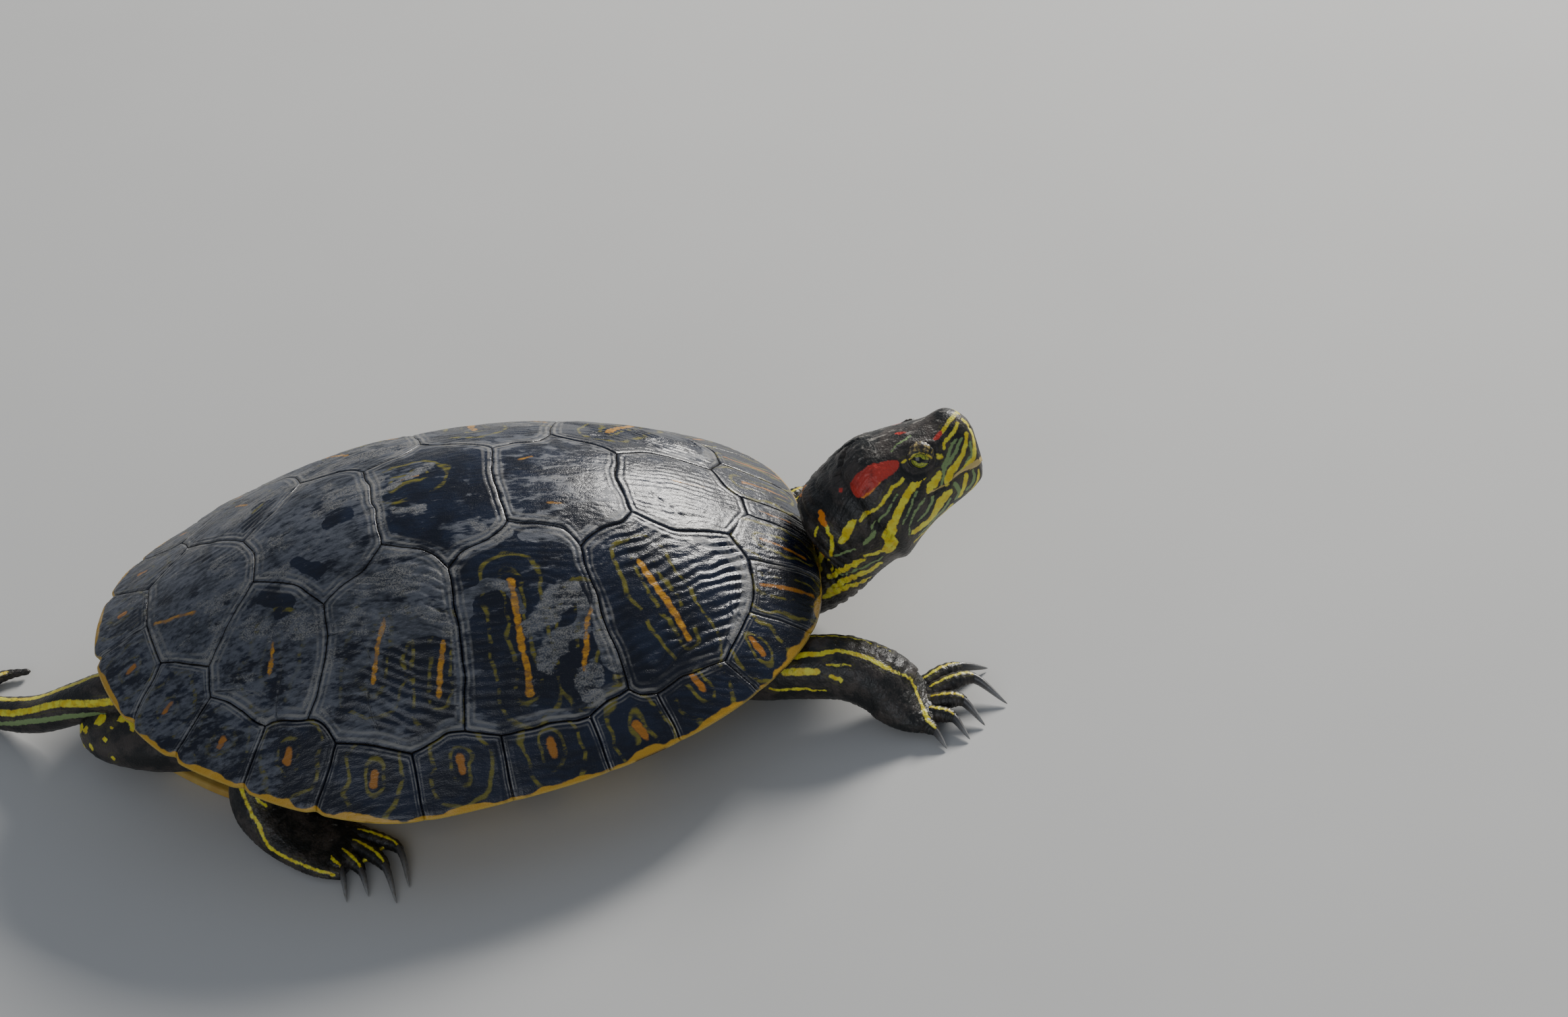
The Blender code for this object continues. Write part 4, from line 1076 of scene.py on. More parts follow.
@dataclass
class Scute:
    """One horny plate of the carapace: a closed solid over the plan between its four seams."""

    name: str
    inner: Array
    outer: Array
    front: Array
    rear: Array
    is_marginal: bool = False
    thickness: float = 2.4
    rim_thickness: float = 1.8
    inset: float = 0.05

    @cached_property
    def plan(self) -> Array:
        """The plan between the four seams, as a Coons patch.

        Returns:
            The plan points, rows from the front seam to the rear one.
        """
        a = np.linspace(0, 1, len(self.inner))[:, None, None]
        b = np.linspace(0, 1, len(self.front))[None, :, None]
        ruled = ((1 - a) * self.front[None] + a * self.rear[None]
                 + (1 - b) * self.inner[:, None] + b * self.outer[:, None])
        return ruled - ((1 - a) * (1 - b) * self.inner[0] + (1 - a) * b * self.outer[0]
                        + a * (1 - b) * self.inner[-1] + a * b * self.outer[-1])

    def away(self, line: Array) -> Array:
        """Distance of the plan points from a polyline."""
        return near_line(self.plan.reshape(-1, 2), line).reshape(self.plan.shape[:2])

    @cached_property
    def edge(self) -> Array:
        """Distance of the plan points from the seams, which leave out the rim of a marginal.

        Returns:
            The distances.
        """
        line = np.concatenate([self.front[::-1], self.inner, self.rear])
        return self.away(line if self.is_marginal else np.concatenate([line, self.outer[::-1]]))

    @cached_property
    def from_rim(self) -> Array:
        """Distance of the plan points from the rim of the shell in mm."""
        return (1 - DOME.ring(self.plan)[0]) * RIM_MM

    @cached_property
    def crack(self) -> Array:
        """Distance of the plan points from the nearest crack, FAR where the plate has none."""
        cracks = [self.away(np.array(run) * (1, self.mirror)) for run in CRACKS.get(self.key, ())]
        return np.minimum.reduce([np.full(self.edge.shape, FAR)] + cracks)

    @property
    def mirror(self) -> float:
        """-1 for a plate of the left side, whose marks mirror the tables."""
        return -1.0 if "_left" in self.name else 1.0

    @property
    def key(self) -> str:
        """The plate's name without its side."""
        return self.name.replace("_left", "").replace("_right", "")

    def marks(self) -> list[Array]:
        """The plate's orange bars as start, end and half width."""
        return [np.array(bar) * (1, self.mirror, 1, self.mirror, 1) for bar in BARS.get(self.key, ())]

    def relief(self, top: Array) -> tuple[Array, Array]:
        """Height over the bare dome in mm, and the wave of the wrinkles from -1 to 1.

        The height is a groove along the seams, two growth ridges beside it, and wrinkles across the plate's
        bar: a sine of the place along the bar, whose phase drifts, under a patchy strength.

        Args:
            top: the plan points' places on the dome.

        Returns:
            The height and the wave.
        """
        plan, edge = self.plan, self.edge
        rise = -0.34 - 0.09 * np.exp(-edge / 1.2) + 0.16 * smooth(edge / 14.0)
        rise = rise + sum(height * bell(edge - place, width) for place, width, height in SEAM_PROFILE)
        amount, spacing = WRINKLES.get(self.key, (0.05, 2.4))
        if self.name.startswith("pleural"):
            x0, y0, x1, y1, _ = self.marks()[0]
            across = unit(np.array([x1 - x0, y1 - y0]))
        else:
            across = np.array([0.0, 1.0])
        phase = (plan @ across) / spacing + 1.1 * grain(top, 19.0, 5, 2) + 0.30 * grain(top, 5.0, 9)
        wave = np.sin(2 * math.pi * phase)
        strength = smooth(0.55 + 0.9 * grain(top, 11.0, 13, 2)) * smooth((edge - 0.8) / 3.0)
        rise = rise + amount * wave * strength
        rise = rise + 0.06 * grain(top * (0.45, 1.0, 1.0), 1.5, 23, 2) + 0.10 * grain(top, 7.0, 27, 2)
        if self.key == "pleural_1":
            lip = self.away(self.front)
            rise = rise + 0.11 * np.sin(lip * 2 * math.pi / 1.6) * smooth((8.5 - lip) / 3.0) * smooth((lip - 1.5) / 1.0)
        if self.is_marginal:
            rise = rise + 0.10 * grain(top, 4.0, 31, 2)
            rise = rise - RIM_BEVEL * bell(self.from_rim, RIM_BEVEL_WIDTH)
        return np.minimum(rise, 0.0), wave * strength

    def film(self) -> Array:
        """How much dried grey film lies on the plate, 0 to 1.

        Returns:
            The amounts.
        """
        x, y = self.plan[..., 0], np.abs(self.plan[..., 1])
        if self.is_marginal:
            return 0.04 + 0.50 * smooth((-48.0 - x) / 30.0)
        if self.name.startswith("vertebral"):
            return 0.10 + 0.22 * smooth((62.0 - x) / 10.0) + 0.40 * smooth((-14.0 - x) / 22.0)
        low = smooth((y - 52.0) / 16.0)
        return 0.02 + 0.14 * smooth((44.0 - x) / 10.0) + 0.42 * smooth((2.0 - x) / 16.0) * (1 - 0.45 * low)

    def coats(self) -> tuple[Array, Array]:
        """Film and crust over the plate: the general amounts, more film along the seams, then the patches.

        Crust is -1 on the marginals, whose marks are redder.

        Returns:
            Film and crust.
        """
        plan, edge = self.plan, self.edge
        film = self.film() + 0.30 * bell(edge - 1.9, 1.3) * (not self.is_marginal)
        crust = np.full(edge.shape, -1.0 if self.is_marginal else 0.0)
        flat = np.concatenate([plan, np.zeros(plan.shape[:2] + (1,))], axis=-1)
        for coat, run in ((coat, run) for coat, runs in PATCHES.get(self.key, {}).items() for run in runs):
            rows = np.array([(x, self.mirror * y, 0.0, width) for x, y, width in run])
            away = line_field(flat.reshape(-1, 3), rows[:, :3], rows[:, 3]).reshape(edge.shape)
            share = smooth(0.5 - (away + 0.9 * grain(flat, 3.6, 83, 2)) / 1.1)
            if coat is Coat.CRUST:
                crust = np.maximum(crust, share)
            film = film + share * (FILM_UNDER[coat] - film)
        return film, crust

    def draw(self) -> Array:
        """Draw the plan a little inside the seams, let it wander, and notch the rim where two marginals meet.

        Returns:
            The points, moved.
        """
        plan, edge = self.plan, self.edge
        inwards = unit(plan.mean(axis=(0, 1)) - plan) * (self.inset * bell(edge, 0.6))[..., None]
        drawn = DOME.wander(plan + inwards)
        if self.is_marginal:
            ring, bearing = DOME.ring(plan)
            rearward = smooth((np.degrees(np.abs(bearing)) - 95.0) / 30.0)
            notch = (0.25 + 1.35 * rearward) * bell(edge, 2.0) * ring ** 26
            drawn = drawn + unit(np.array([DOME.widest_x, 0.0]) - drawn) * notch[..., None]
        return drawn

    def underside(self, drawn: Array) -> Array:
        """The lower face of a marginal, level with the underside of the rim.

        Args:
            drawn: where the plan points are drawn.

        Returns:
            The points.
        """
        low = DOME.rim_height + DOME.lift(drawn[..., 0]) - self.rim_thickness
        low = low + RIM_BEVEL * bell(self.from_rim, RIM_BEVEL_WIDTH)
        return np.concatenate([drawn, low[..., None]], axis=-1)

    def fields(self, bare: Array) -> dict[str, Array]:
        """What the horn's finish reads at the points of one face, but for the wave of the wrinkles.

        Args:
            bare: the plan points' places on the dome.

        Returns:
            The fields by name.
        """
        edge, crack = self.edge, self.crack
        bar, nearest = np.full(edge.shape, FAR), np.full(edge.shape, 40.0)
        for x0, y0, x1, y1, width in self.marks():
            away = self.away(np.array([[x0, y0], [x1, y1]]))
            bar, nearest = np.minimum(bar, away - width), np.minimum(nearest, away)
        rim = self.from_rim if self.is_marginal else np.full(edge.shape, FAR)
        film, crust = self.coats()
        return {"edge": np.where(crack < 0.45, crack, edge * (1.9 if self.is_marginal else 1.0)), "bar": bar,
                "ring": nearest + 1.5 * grain(bare, 5.0, 91) + (30.0 if self.key in RINGLESS else 0.0),
                "rim": rim - 0.8 * smooth((edge - 5.5) / 4.0), "film": film, "crust": crust}

    def build(self, finish: bpy.types.Material) -> bpy.types.Object:
        """Make the plate.

        Args:
            finish: the horn it wears.

        Returns:
            The piece, which stands for the frame's plate of the same name.
        """
        drawn = self.draw()
        bare = np.concatenate([drawn, DOME.height(drawn)[..., None]], axis=-1)
        normal = DOME.normal(drawn)
        rise, wave = self.relief(bare)
        rise = rise - 0.30 * bell(self.crack, 0.32)
        bottom = self.underside(drawn) if self.is_marginal else bare - self.thickness * normal
        body = plate(DOME.settle(bare + normal * rise[..., None], drawn), DOME.settle(bottom, drawn))
        fields = self.fields(bare) | {"wave": wave}
        body.fields = {key: np.tile(values.ravel(), 2) for key, values in fields.items()}
        body.fields["under"] = np.repeat([0.0, 1.0], self.edge.size)
        piece = make_piece(f"{self.name}_horn", body, finish)
        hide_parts(self.name)
        return piece


def flip(points: Array) -> Array:
    """The same plan points on the other side of the midline."""
    return np.asarray(points, dtype=float) * (1.0, -1.0)


def lay_out_scutes(broad: int, narrow: int) -> list[Scute]:
    """Lay out the plates of the carapace: one nuchal, five vertebrals, eight pleurals, 24 marginals.

    Args:
        broad: steps within each stretch of a vertebral's or pleural's seam.
        narrow: the same for a marginal.

    Returns:
        The plates.
    """
    heads, feet, points, breaks = MARGINAL_HEADS, PLEURAL_FEET, VERTEBRAL_POINTS, VERTEBRAL_SEAMS
    ends = [seam_along((FIRST_CORNER, NUCHAL_CORNER, flip(NUCHAL_CORNER), flip(FIRST_CORNER)), (1, 2, 1), broad)]
    ends += [seam_along((seam, flip(seam)), (4,), broad) for seam in breaks]
    ends += [seam_along((LAST_CORNER, heads[11], heads[12], flip(heads[11]), flip(LAST_CORNER)), (1, 1, 1, 1),
                       broad)]
    flanks = [seam_along((FIRST_CORNER, breaks[0]), (6,), broad)]
    flanks += [seam_along((seam, point, after), (3, 3), broad)
               for seam, point, after in zip(breaks, points, breaks[1:])]
    flanks += [seam_along((breaks[3], LAST_CORNER), (5,), broad)]
    scutes = [Scute(f"vertebral_{i + 1}", flank, flip(flank), ends[i], ends[i + 1])
              for i, flank in enumerate(flanks)]
    layouts = (
        (((FIRST_CORNER, breaks[0], points[0]), (3, 3)), ((heads[2], heads[3], heads[4], feet[0]), (2, 3, 1)),
         ((FIRST_CORNER, heads[1], heads[2]), (2, 3)), ((points[0], feet[0]), (5,))),
        (((points[0], breaks[1], points[1]), (3, 3)), ((feet[0], heads[5], heads[6], feet[1]), (2, 3, 1)),
         ((points[0], feet[0]), (5,)), ((points[1], feet[1]), (5,))),
        (((points[1], breaks[2], points[2]), (3, 3)), ((feet[1], heads[7], heads[8], feet[2]), (2, 3, 1)),
         ((points[1], feet[1]), (5,)), ((points[2], feet[2]), (5,))),
        (((points[2], breaks[3], LAST_CORNER), (3, 3)), ((feet[2], heads[9], heads[10]), (2, 4)),
         ((points[2], feet[2]), (4,)), ((LAST_CORNER, heads[10]), (4,))),
    )
    extra = {1: FIRST_CORNER, 5: feet[0], 7: feet[1], 9: feet[2], 11: LAST_CORNER}
    for side in Side:
        turn = flip if side is Side.RIGHT else np.asarray
        for i, layout in enumerate(layouts):
            edges = (turn(seam_along(corners, counts, broad)) for corners, counts in layout)
            scutes.append(Scute(f"pleural_{side.word}_{i + 1}", *edges))
        for i in range(1, 13):
            stops, counts = [heads[i - 1], heads[i]], (3,)
            if i in extra:
                stops.insert(1, extra[i])
                counts = (2, 1)
            inner = seam_along(stops, counts, narrow)
            outer = DOME.outline(RIM_BEARINGS[i - 1], RIM_BEARINGS[i], 3 * narrow)
            front = run_along((inner[0], outer[0]), (3,), narrow)
            rear = run_along((inner[-1], outer[-1]), (3,), narrow)
            seams = (turn(seam) for seam in (inner, outer, front, rear))
            scutes.append(Scute(f"marginal_{side.word}_{i}", *seams, is_marginal=True))
    inner = seam_along((NUCHAL_CORNER, flip(NUCHAL_CORNER)), (2,), narrow)
    outer = DOME.outline(RIM_BEARINGS[0], -RIM_BEARINGS[0], 2 * narrow)
    scutes.append(Scute("nuchal", inner, outer, run_along((inner[0], outer[0]), (3,), narrow),
                        run_along((inner[-1], outer[-1]), (3,), narrow), True))
    return scutes


# ---------------------------------------- plastron

@dataclass(frozen=True)
class Plastron:
    """The belly plate: two round lobes and the bridges that rise from it to the rim."""

    rear: float = -104.0
    front: float = 96.0
    half_width: float = 56.0
    thickness: float = 5.0
    bridge_half_width: float = 76.0
    bridge_rise: float = 22.7
    step: float = 1.6
    seams: tuple[float, ...] = (78.0, 52.0, 28.0, -26.0, -66.0)
    blotches: tuple[tuple[float, float, float], ...] = ((84.0, 16.0, 8.0), (62.0, 24.0, 10.0), (38.0, 30.0, 11.0),
                                                        (2.0, 30.0, 13.0), (-44.0, 25.0, 12.0),
                                                        (-84.0, 16.0, 9.0), (10.0, 62.0, 8.0), (-24.0, 62.0, 8.0))

    def width(self, x: float) -> float:
        """Half width of the flat part at a station.

        Args:
            x: the station.

        Returns:
            The half width.
        """
        if x > 0:
            return self.half_width * (1 - (x / 98.0) ** 3.2) ** 0.455
        waist = 8.0 * float(smooth(np.array(-x / 60.0)))
        return self.half_width - waist - 34.0 * float(np.clip((-40.0 - x) / 66.0, 0, 1)) ** 2.6

    def build(self, finish: bpy.types.Material) -> bpy.types.Object:
        """Make the plastron.

        Args:
            finish: the horn it wears.

        Returns:
            The piece.
        """
        rings = []
        for x in np.linspace(self.rear, self.front, int((self.front - self.rear) / self.step) + 1):
            width = self.width(x)
            rise = float(smooth(np.array((x + 48.0) / 10.0)) * smooth(np.array((50.0 - x) / 10.0)))
            reach = width + rise * (self.bridge_half_width - width)
            top = self.thickness + rise * self.bridge_rise
            tip = 2.2 * float(smooth(np.array((abs(x) - 80.0) / 24.0)))
            half = [(width - 6.0, 0.0), (width, 2.4 + tip), (reach, top - 0.4 + tip), (reach - 3.5, top + tip),
                    (width - 6.0, self.thickness + tip)]
            loop = half + [(-y, z) for y, z in reversed(half)] + [half[0]]
            flat = run_along(loop, (4, 8, 2, 8, 10, 8, 2, 8, 4, 30), 1)[:-1]
            rings.append(np.column_stack([np.full(len(flat), x), flat]))
        body = tube(np.array(rings))
        points = body.points
        edge = np.minimum(np.abs(points[:, 1] + 0.8 * grain(points, 20.0, 3)), FAR)
        for seam in self.seams:
            bend = seam - 5.0 * smooth(np.abs(points[:, 1]) / 40.0) + 0.8 * grain(points, 15.0, 5)
            edge = np.minimum(edge, np.abs(points[:, 0] - bend))
        under = points[:, 2] < 2.0
        points[:, 2] += np.where(under, 0.30 * bell(edge, 0.5), 0.0)
        blotch = np.full(len(points), FAR)
        for x, y, size in self.blotches:
            away = np.hypot(points[:, 0] - x, np.abs(points[:, 1]) - y)
            blotch = np.minimum(blotch, away - size)
        body.fields = {"edge": edge, "blotch": blotch}
        piece = make_piece("plastron_plate", body, finish)
        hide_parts("plastron")
        return piece


# ---------------------------------------- flesh

def superellipse(half_width: Array, top: Array, bottom: Array, angle: Array, power: float = 2.3) -> Array:
    """Closed sections as (side, height) pairs, the upper and lower halves of their own heights.

    Args:
        half_width: half width of each section.
        top: height of each section's top.
        bottom: height of its bottom.
        angle: the points' angles in radians, from the left side upwards.
        power: 2 for an ellipse, more for a squarer section.

    Returns:
        An array of sections by points by two.
    """
    across, up = np.cos(angle), np.sin(angle)
    reach = (np.abs(across) ** power + np.abs(up) ** power) ** (-1 / power)
    middle, half = (0.5 * (top + bottom))[:, None], (0.5 * (top - bottom))[:, None]
    return np.stack([half_width[:, None] * (reach * across), middle + half * (reach * up)], axis=-1)


def directions(path: Array) -> tuple[Array, Array]:
    """Level sideways directions and upward ones at each row of a path.

    Args:
        path: rows that begin with x, y, z.

    Returns:
        The two sets of unit vectors.
    """
    along = unit(np.gradient(path[:, :3], axis=0))
    side = unit(np.cross((0.0, 0.0, 1.0), along))
    return side, np.cross(along, side)


def sections(path: Array, half: Array, sides: int, power: float) -> Array:
    """Superelliptic sections across a path, none of it below the floor.

    Args:
        path: rows that begin with x, y, z.
        half: half width and half height of each section.
        sides: points in a section.
        power: squareness of the sections.

    Returns:
        The rings.
    """
    side, up = directions(path)
    angle = 2 * math.pi * (np.arange(sides) + 0.5) / sides
    flat = superellipse(half[:, 0], half[:, 1], -half[:, 1], angle, power)
    rings = path[:, None, :3] + flat[..., :1] * side[:, None] + flat[..., 1:] * up[:, None]
    rings[..., 2] = np.maximum(rings[..., 2], 0.0)
    return rings


class HeadFrame:
    """The head's own frame: x forward from 0 at the tip of the beak, y left, z up."""

    tip = np.array([174.1, -4.6, 52.6])
    pitch = math.radians(5.9)
    roll = math.radians(-19.8)

    @classmethod
    def turn(cls) -> Array:
        """The rotation from the head's frame to the model's.

        Returns:
            A 3 by 3 matrix.
        """
        cp, sp, cr, sr = math.cos(cls.pitch), math.sin(cls.pitch), math.cos(cls.roll), math.sin(cls.roll)
        pitch = np.array([[cp, 0, -sp], [0, 1, 0], [sp, 0, cp]])
        return pitch @ np.array([[1, 0, 0], [0, cr, -sr], [0, sr, cr]])

    @classmethod
    def out(cls, points: Array) -> Array:
        """Points of the head's frame, in the model's."""
        return np.asarray(points) @ cls.turn().T + cls.tip

    @classmethod
    def into(cls, points: Array) -> Array:
        """Points of the model's frame, in the head's."""
        return (points - cls.tip) @ cls.turn()


def line_field(points: Array, places: Array, widths: Array) -> Array:
    """Signed distance from a line drawn on a surface, below 0 inside it.

    The line's places are laid on the nearest points of the surface and joined by a smooth line.

    Args:
        points: the surface's points.
        places: the line's places, three numbers each.
        widths: the half width at each place.

    Returns:
        One distance for each point, FAR away from the line.
    """
    line = through(np.column_stack([places, widths]), 4)
    field = np.full(len(points), FAR)
    low, high = line[:, :3].min(axis=0) - 6.0, line[:, :3].max(axis=0) + 6.0
    near = np.flatnonzero(((points > low) & (points < high)).all(axis=1))
    if len(near) == 0:
        return field
    spots = points[near]
    laid = np.array([spots[np.argmin(((spots - row) ** 2).sum(axis=1))] for row in line[:, :3]])
    best = np.full(len(near), FAR)
    for k in range(len(line) - 1):
        run = laid[k + 1] - laid[k]
        share = np.clip((spots - laid[k]) @ run / max(float(run @ run), 1e-9), 0.0, 1.0)
        away = np.linalg.norm(spots - laid[k] - share[:, None] * run, axis=1)
        best = np.minimum(best, away - (line[k, 3] + share * (line[k + 1, 3] - line[k, 3])))
    field[near] = best
    return field


def paint(fields: dict[str, Array], points: Array, tint: Tint, places: Array, widths: Array) -> None:
    """Draw a stripe: the tint's field is lowered to the stripe's signed distance (see line_field)."""
    fields[tint.value] = np.minimum(fields[tint.value], line_field(points, places, widths))


def blank_fields(count: int) -> dict[str, Array]:
    """The skin's fields with no markings yet.

    Args:
        count: how many points the body has.

    Returns:
        The fields by name.
    """
    fields = {tint.value: np.full(count, FAR) for tint in Tint}
    fields.update(horn=np.full(count, FAR), scuff=np.zeros(count), cell=np.ones(count))
    return fields


# Markings of the head's right side: runs of x, y, z in the head's frame and half width; the left side mirrors them
HEAD_STRIPES = {
    Tint.RED: (
        ((-28, -13.5, 11.2, 1.4), (-30.5, -13.8, 11, 2.4), (-34.5, -14.5, 10.6, 3.1), (-38.5, -15, 9.4, 3.6),
         (-41, -14.5, 8, 3.3)),
        ((-46.5, -10, 7, .9), (-47.5, -10.5, 6, .5)),
        ((-25, -4.5, 18, .35), (-23.5, -4.5, 18, .65), (-22, -5, 18, .35)),
        ((-13.5, -8.5, 14, .45), (-12, -7.5, 14.5, .6), (-11, -7, 15, .45)),
    ),
    Tint.ORANGE: (
        ((-34.5, -16, 8, .4), (-38.5, -16.5, 6.2, .9), (-41.5, -15.5, 5, .9)),
        ((-55, -8, 1.5, .9), (-55.5, -9.5, -1.5, 1.2), (-55, -10.5, -2.8, .7)),
        ((-61, -3, -8, .3), (-60, -6.5, -10.5, .45), (-59, -7, -15, .4)),
    ),
    Tint.YELLOW: (
        ((-10.5, -7, 15, .4), (-8.5, -5, 16, .45), (-6, -2.5, 17, .5), (-4, .5, 17, .4)),
        ((-5, -4.5, 15.5, .4), (-6.5, -6, 14, .45), (-8.5, -7.5, 13, .45), (-10.5, -8.5, 12, .4),
         (-11.5, -9.5, 10.5, .35)),
        ((-3, -5.5, 11.5, .45), (-4, -6.5, 9, .55), (-6.5, -8, 5.5, .7), (-9, -9.5, 3.5, .85), (-11.5, -10.5, 2, 1),
         (-13, -11, 0, 1.05), (-13.5, -11, -1.5, .8)),
        ((-3, -2.5, 15.5, .4), (-1.5, -3, 13, .5), (-1, -4, 9.5, .55), (-1.5, -5.5, 6, .6), (-3, -6.5, 3, .6),
         (-6, -8, 1.5, .6), (-9, -9, .5, .5)),
        ((-15, -12, 3.5, .8), (-17, -13, 1.5, 1.05), (-19, -13.5, .5, 1.05), (-20, -14, -1, .7)),
        ((-6.5, -7.5, -1.5, .5), (-7.5, -7.5, -3.5, .6), (-8.5, -7.5, -5.5, .6), (-10.5, -6.5, -8, .5)),
        ((-2.2, -5, -2, .3), (-2.8, -4.5, -4, .4), (-4.5, -3.5, -6.5, .45), (-8, -3, -8.6, .4)),
        ((-13.5, -10.5, -4.5, .9), (-15, -11, -5.5, 1.2), (-17, -11.5, -6.5, 1.3), (-19, -11.5, -8.5, 1.3),
         (-22.5, -11, -11, 1.3), (-26, -13, -12, 1.2), (-28.5, -14.5, -12.5, .8)),
        ((-14, -6.5, -9.8, .7), (-19, -5.5, -13, .9), (-24, -8, -15, .8), (-29, -11.5, -16.5, .5)),
        ((-21, -14, 5.5, 1.4), (-23.5, -15, 3.5, 1.35), (-26, -16, 2, 1.2), (-28, -16.5, 0, 1.2),
         (-30, -17, -1.5, 1.2), (-33.5, -18, -5.5, 1.4), (-36, -17, -9.5, 2), (-36.5, -15, -14, 2),
         (-38, -13.5, -17, 1.3)),
        ((-38, -13.5, -16.5, .8), (-42, -12, -16.5, .8), (-45.5, -11.5, -16.5, .6)),
        ((-25, -14.5, 8, .35), (-27.5, -15.5, 6, .55), (-31, -16.5, 5, .6), (-33, -17, 3.5, .6), (-36, -17.5, 1, .55),
         (-40, -16.5, -.5, .55), (-44, -14.5, -2.5, .6)),
        ((-45, -15, -2.5, .6), (-47, -14.5, -3.5, 1), (-48.5, -14, -5.5, 1.3), (-50.5, -13.5, -8, 1.2),
         (-51.5, -13, -9, .8)),
        ((-55, -11, -3, .6), (-54.5, -12, -7, .65), (-55.5, -11, -11.5, .65), (-57, -7.5, -16, .6),
         (-59.5, -4.5, -20.5, .6)),
        ((-58, -8.5, -3.5, .4), (-59, -8, -6, .6)),
        ((-59, -4, -22.5, .8), (-54.5, -8.5, -20, 1.2), (-50, -10, -18.5, 1.2), (-46.5, -11, -17.5, .8)),
        ((-60, -5, -27, .9), (-54.5, -7, -24.7, 1.2), (-50, -8, -24, 1.2), (-45, -8, -23.6, 1.2),
         (-41.5, -8.5, -22, .9)),
        ((-62, -5, -29, .8), (-57.5, -5.5, -28, 1), (-52, -6.5, -27.5, 1), (-46, -4.5, -27, .7)),
    ),
    Tint.OLIVE: (
        ((-6.5, -7.5, 11.5, .35), (-9, -8.5, 10, .4), (-11.5, -10.5, 6.5, .45), (-13, -11, 5.5, .4),
         (-14, -11.5, 2.5, .4), (-15.5, -12, -.5, .35)),
        ((-5, -6.5, 11, .35), (-7.5, -8, 8.5, .4), (-9, -9.5, 7, .45), (-11.5, -10.5, 5, .45), (-14, -11.5, 3.5, .4)),
        ((-2.5, -6, 8.5, .35), (-3, -6.5, 5, .4), (-5.5, -7.5, 2.5, .4), (-8, -8.5, 1, .35)),
        ((-4, -6.5, -1.2, .4), (-4, -6, -3, .45), (-5.5, -5.5, -5.5, .45), (-7.5, -6, -7, .4)),
        ((-11, -9.5, -2.5, .5), (-10.5, -9, -4, .55), (-10.5, -7.5, -6.5, .55), (-12, -7.5, -8.5, .45)),
        ((-14, -9.5, -7.5, .4), (-18, -9, -10.5, .5), (-23, -10, -13.5, .5), (-27, -11.5, -15, .4)),
        ((-40, -15.5, -8, .5), (-42.5, -15, -10, .8), (-44.5, -14, -12, .5)),
        ((-47.5, -13, -13, .3), (-50.5, -12.5, -13, .4), (-54, -11, -13.5, .4), (-55.5, -11, -14, .3)),
        ((-30, -17, 2.6, .3), (-33.5, -17.6, -.6, .35), (-38, -17, -4, .35), (-41, -16, -6, .3)),
        ((-22, -14, -2.4, .4), (-25, -15, -4.4, .4), (-28.5, -15.8, -8, .4), (-30, -15, -12, .35)),
        ((-19, -13, -3.6, .4), (-22, -13.4, -6.8, .45), (-26, -14.4, -9.4, .35)),
        ((-24, -15.3, .6, .35), (-27.5, -16.4, -3.4, .35), (-31, -16.8, -7.6, .3)),
        ((-58, -6, -22.5, .4), (-52, -9, -21.8, .4), (-46, -9.6, -20.8, .4), (-40, -10.5, -19.6, .35)),
        ((-28, -10.5, 14.5, .3), (-26, -9, 15.5, .3), (-24, -8.5, 16, .3), (-21, -7, 16.5, .25)),
    ),
}
LID_CORNERS = (
    ((-14, -11, 9.5, .3), (-13.5, -10.5, 8.5, .6), (-12.5, -10.5, 8, .25)),
    ((-24.6, -13.2, 11.6, .25), (-25.6, -13.4, 11.2, .4)),
)
NOSTRIL = ((-2.0, -3.1, 12.5), (-1.5, -2.6, 12.3))
SNOUT = (-8.5, 1.0, 18.4)
MOUTH_LINE = ((.2, 0, -.4), (-1, -4, -.2), (-8.5, -9, 0), (-14, -11.5, -1.7), (-21, -14.3, -1.9))
JAW_CREASE = ((-37, 0, 18), (-41.5, -1.5, 16.5), (-44.5, -5, 12), (-45.5, -9.5, 8), (-44, -14.5, 2), (-40, -16.5, -5),
              (-36, -17, -11))
ORBIT_GROOVE = ((-25.9, -11.2, 13.8), (-25.8, -14.2, 9.2), (-22, -14.2, 5.9), (-15.6, -12.1, 6.5), (-14, -10.1, 11.6))
BROW_RIDGE = ((-24.5, -9, 15.6), (-20.6, -9.4, 15.3), (-14.6, -9.2, 13.3))


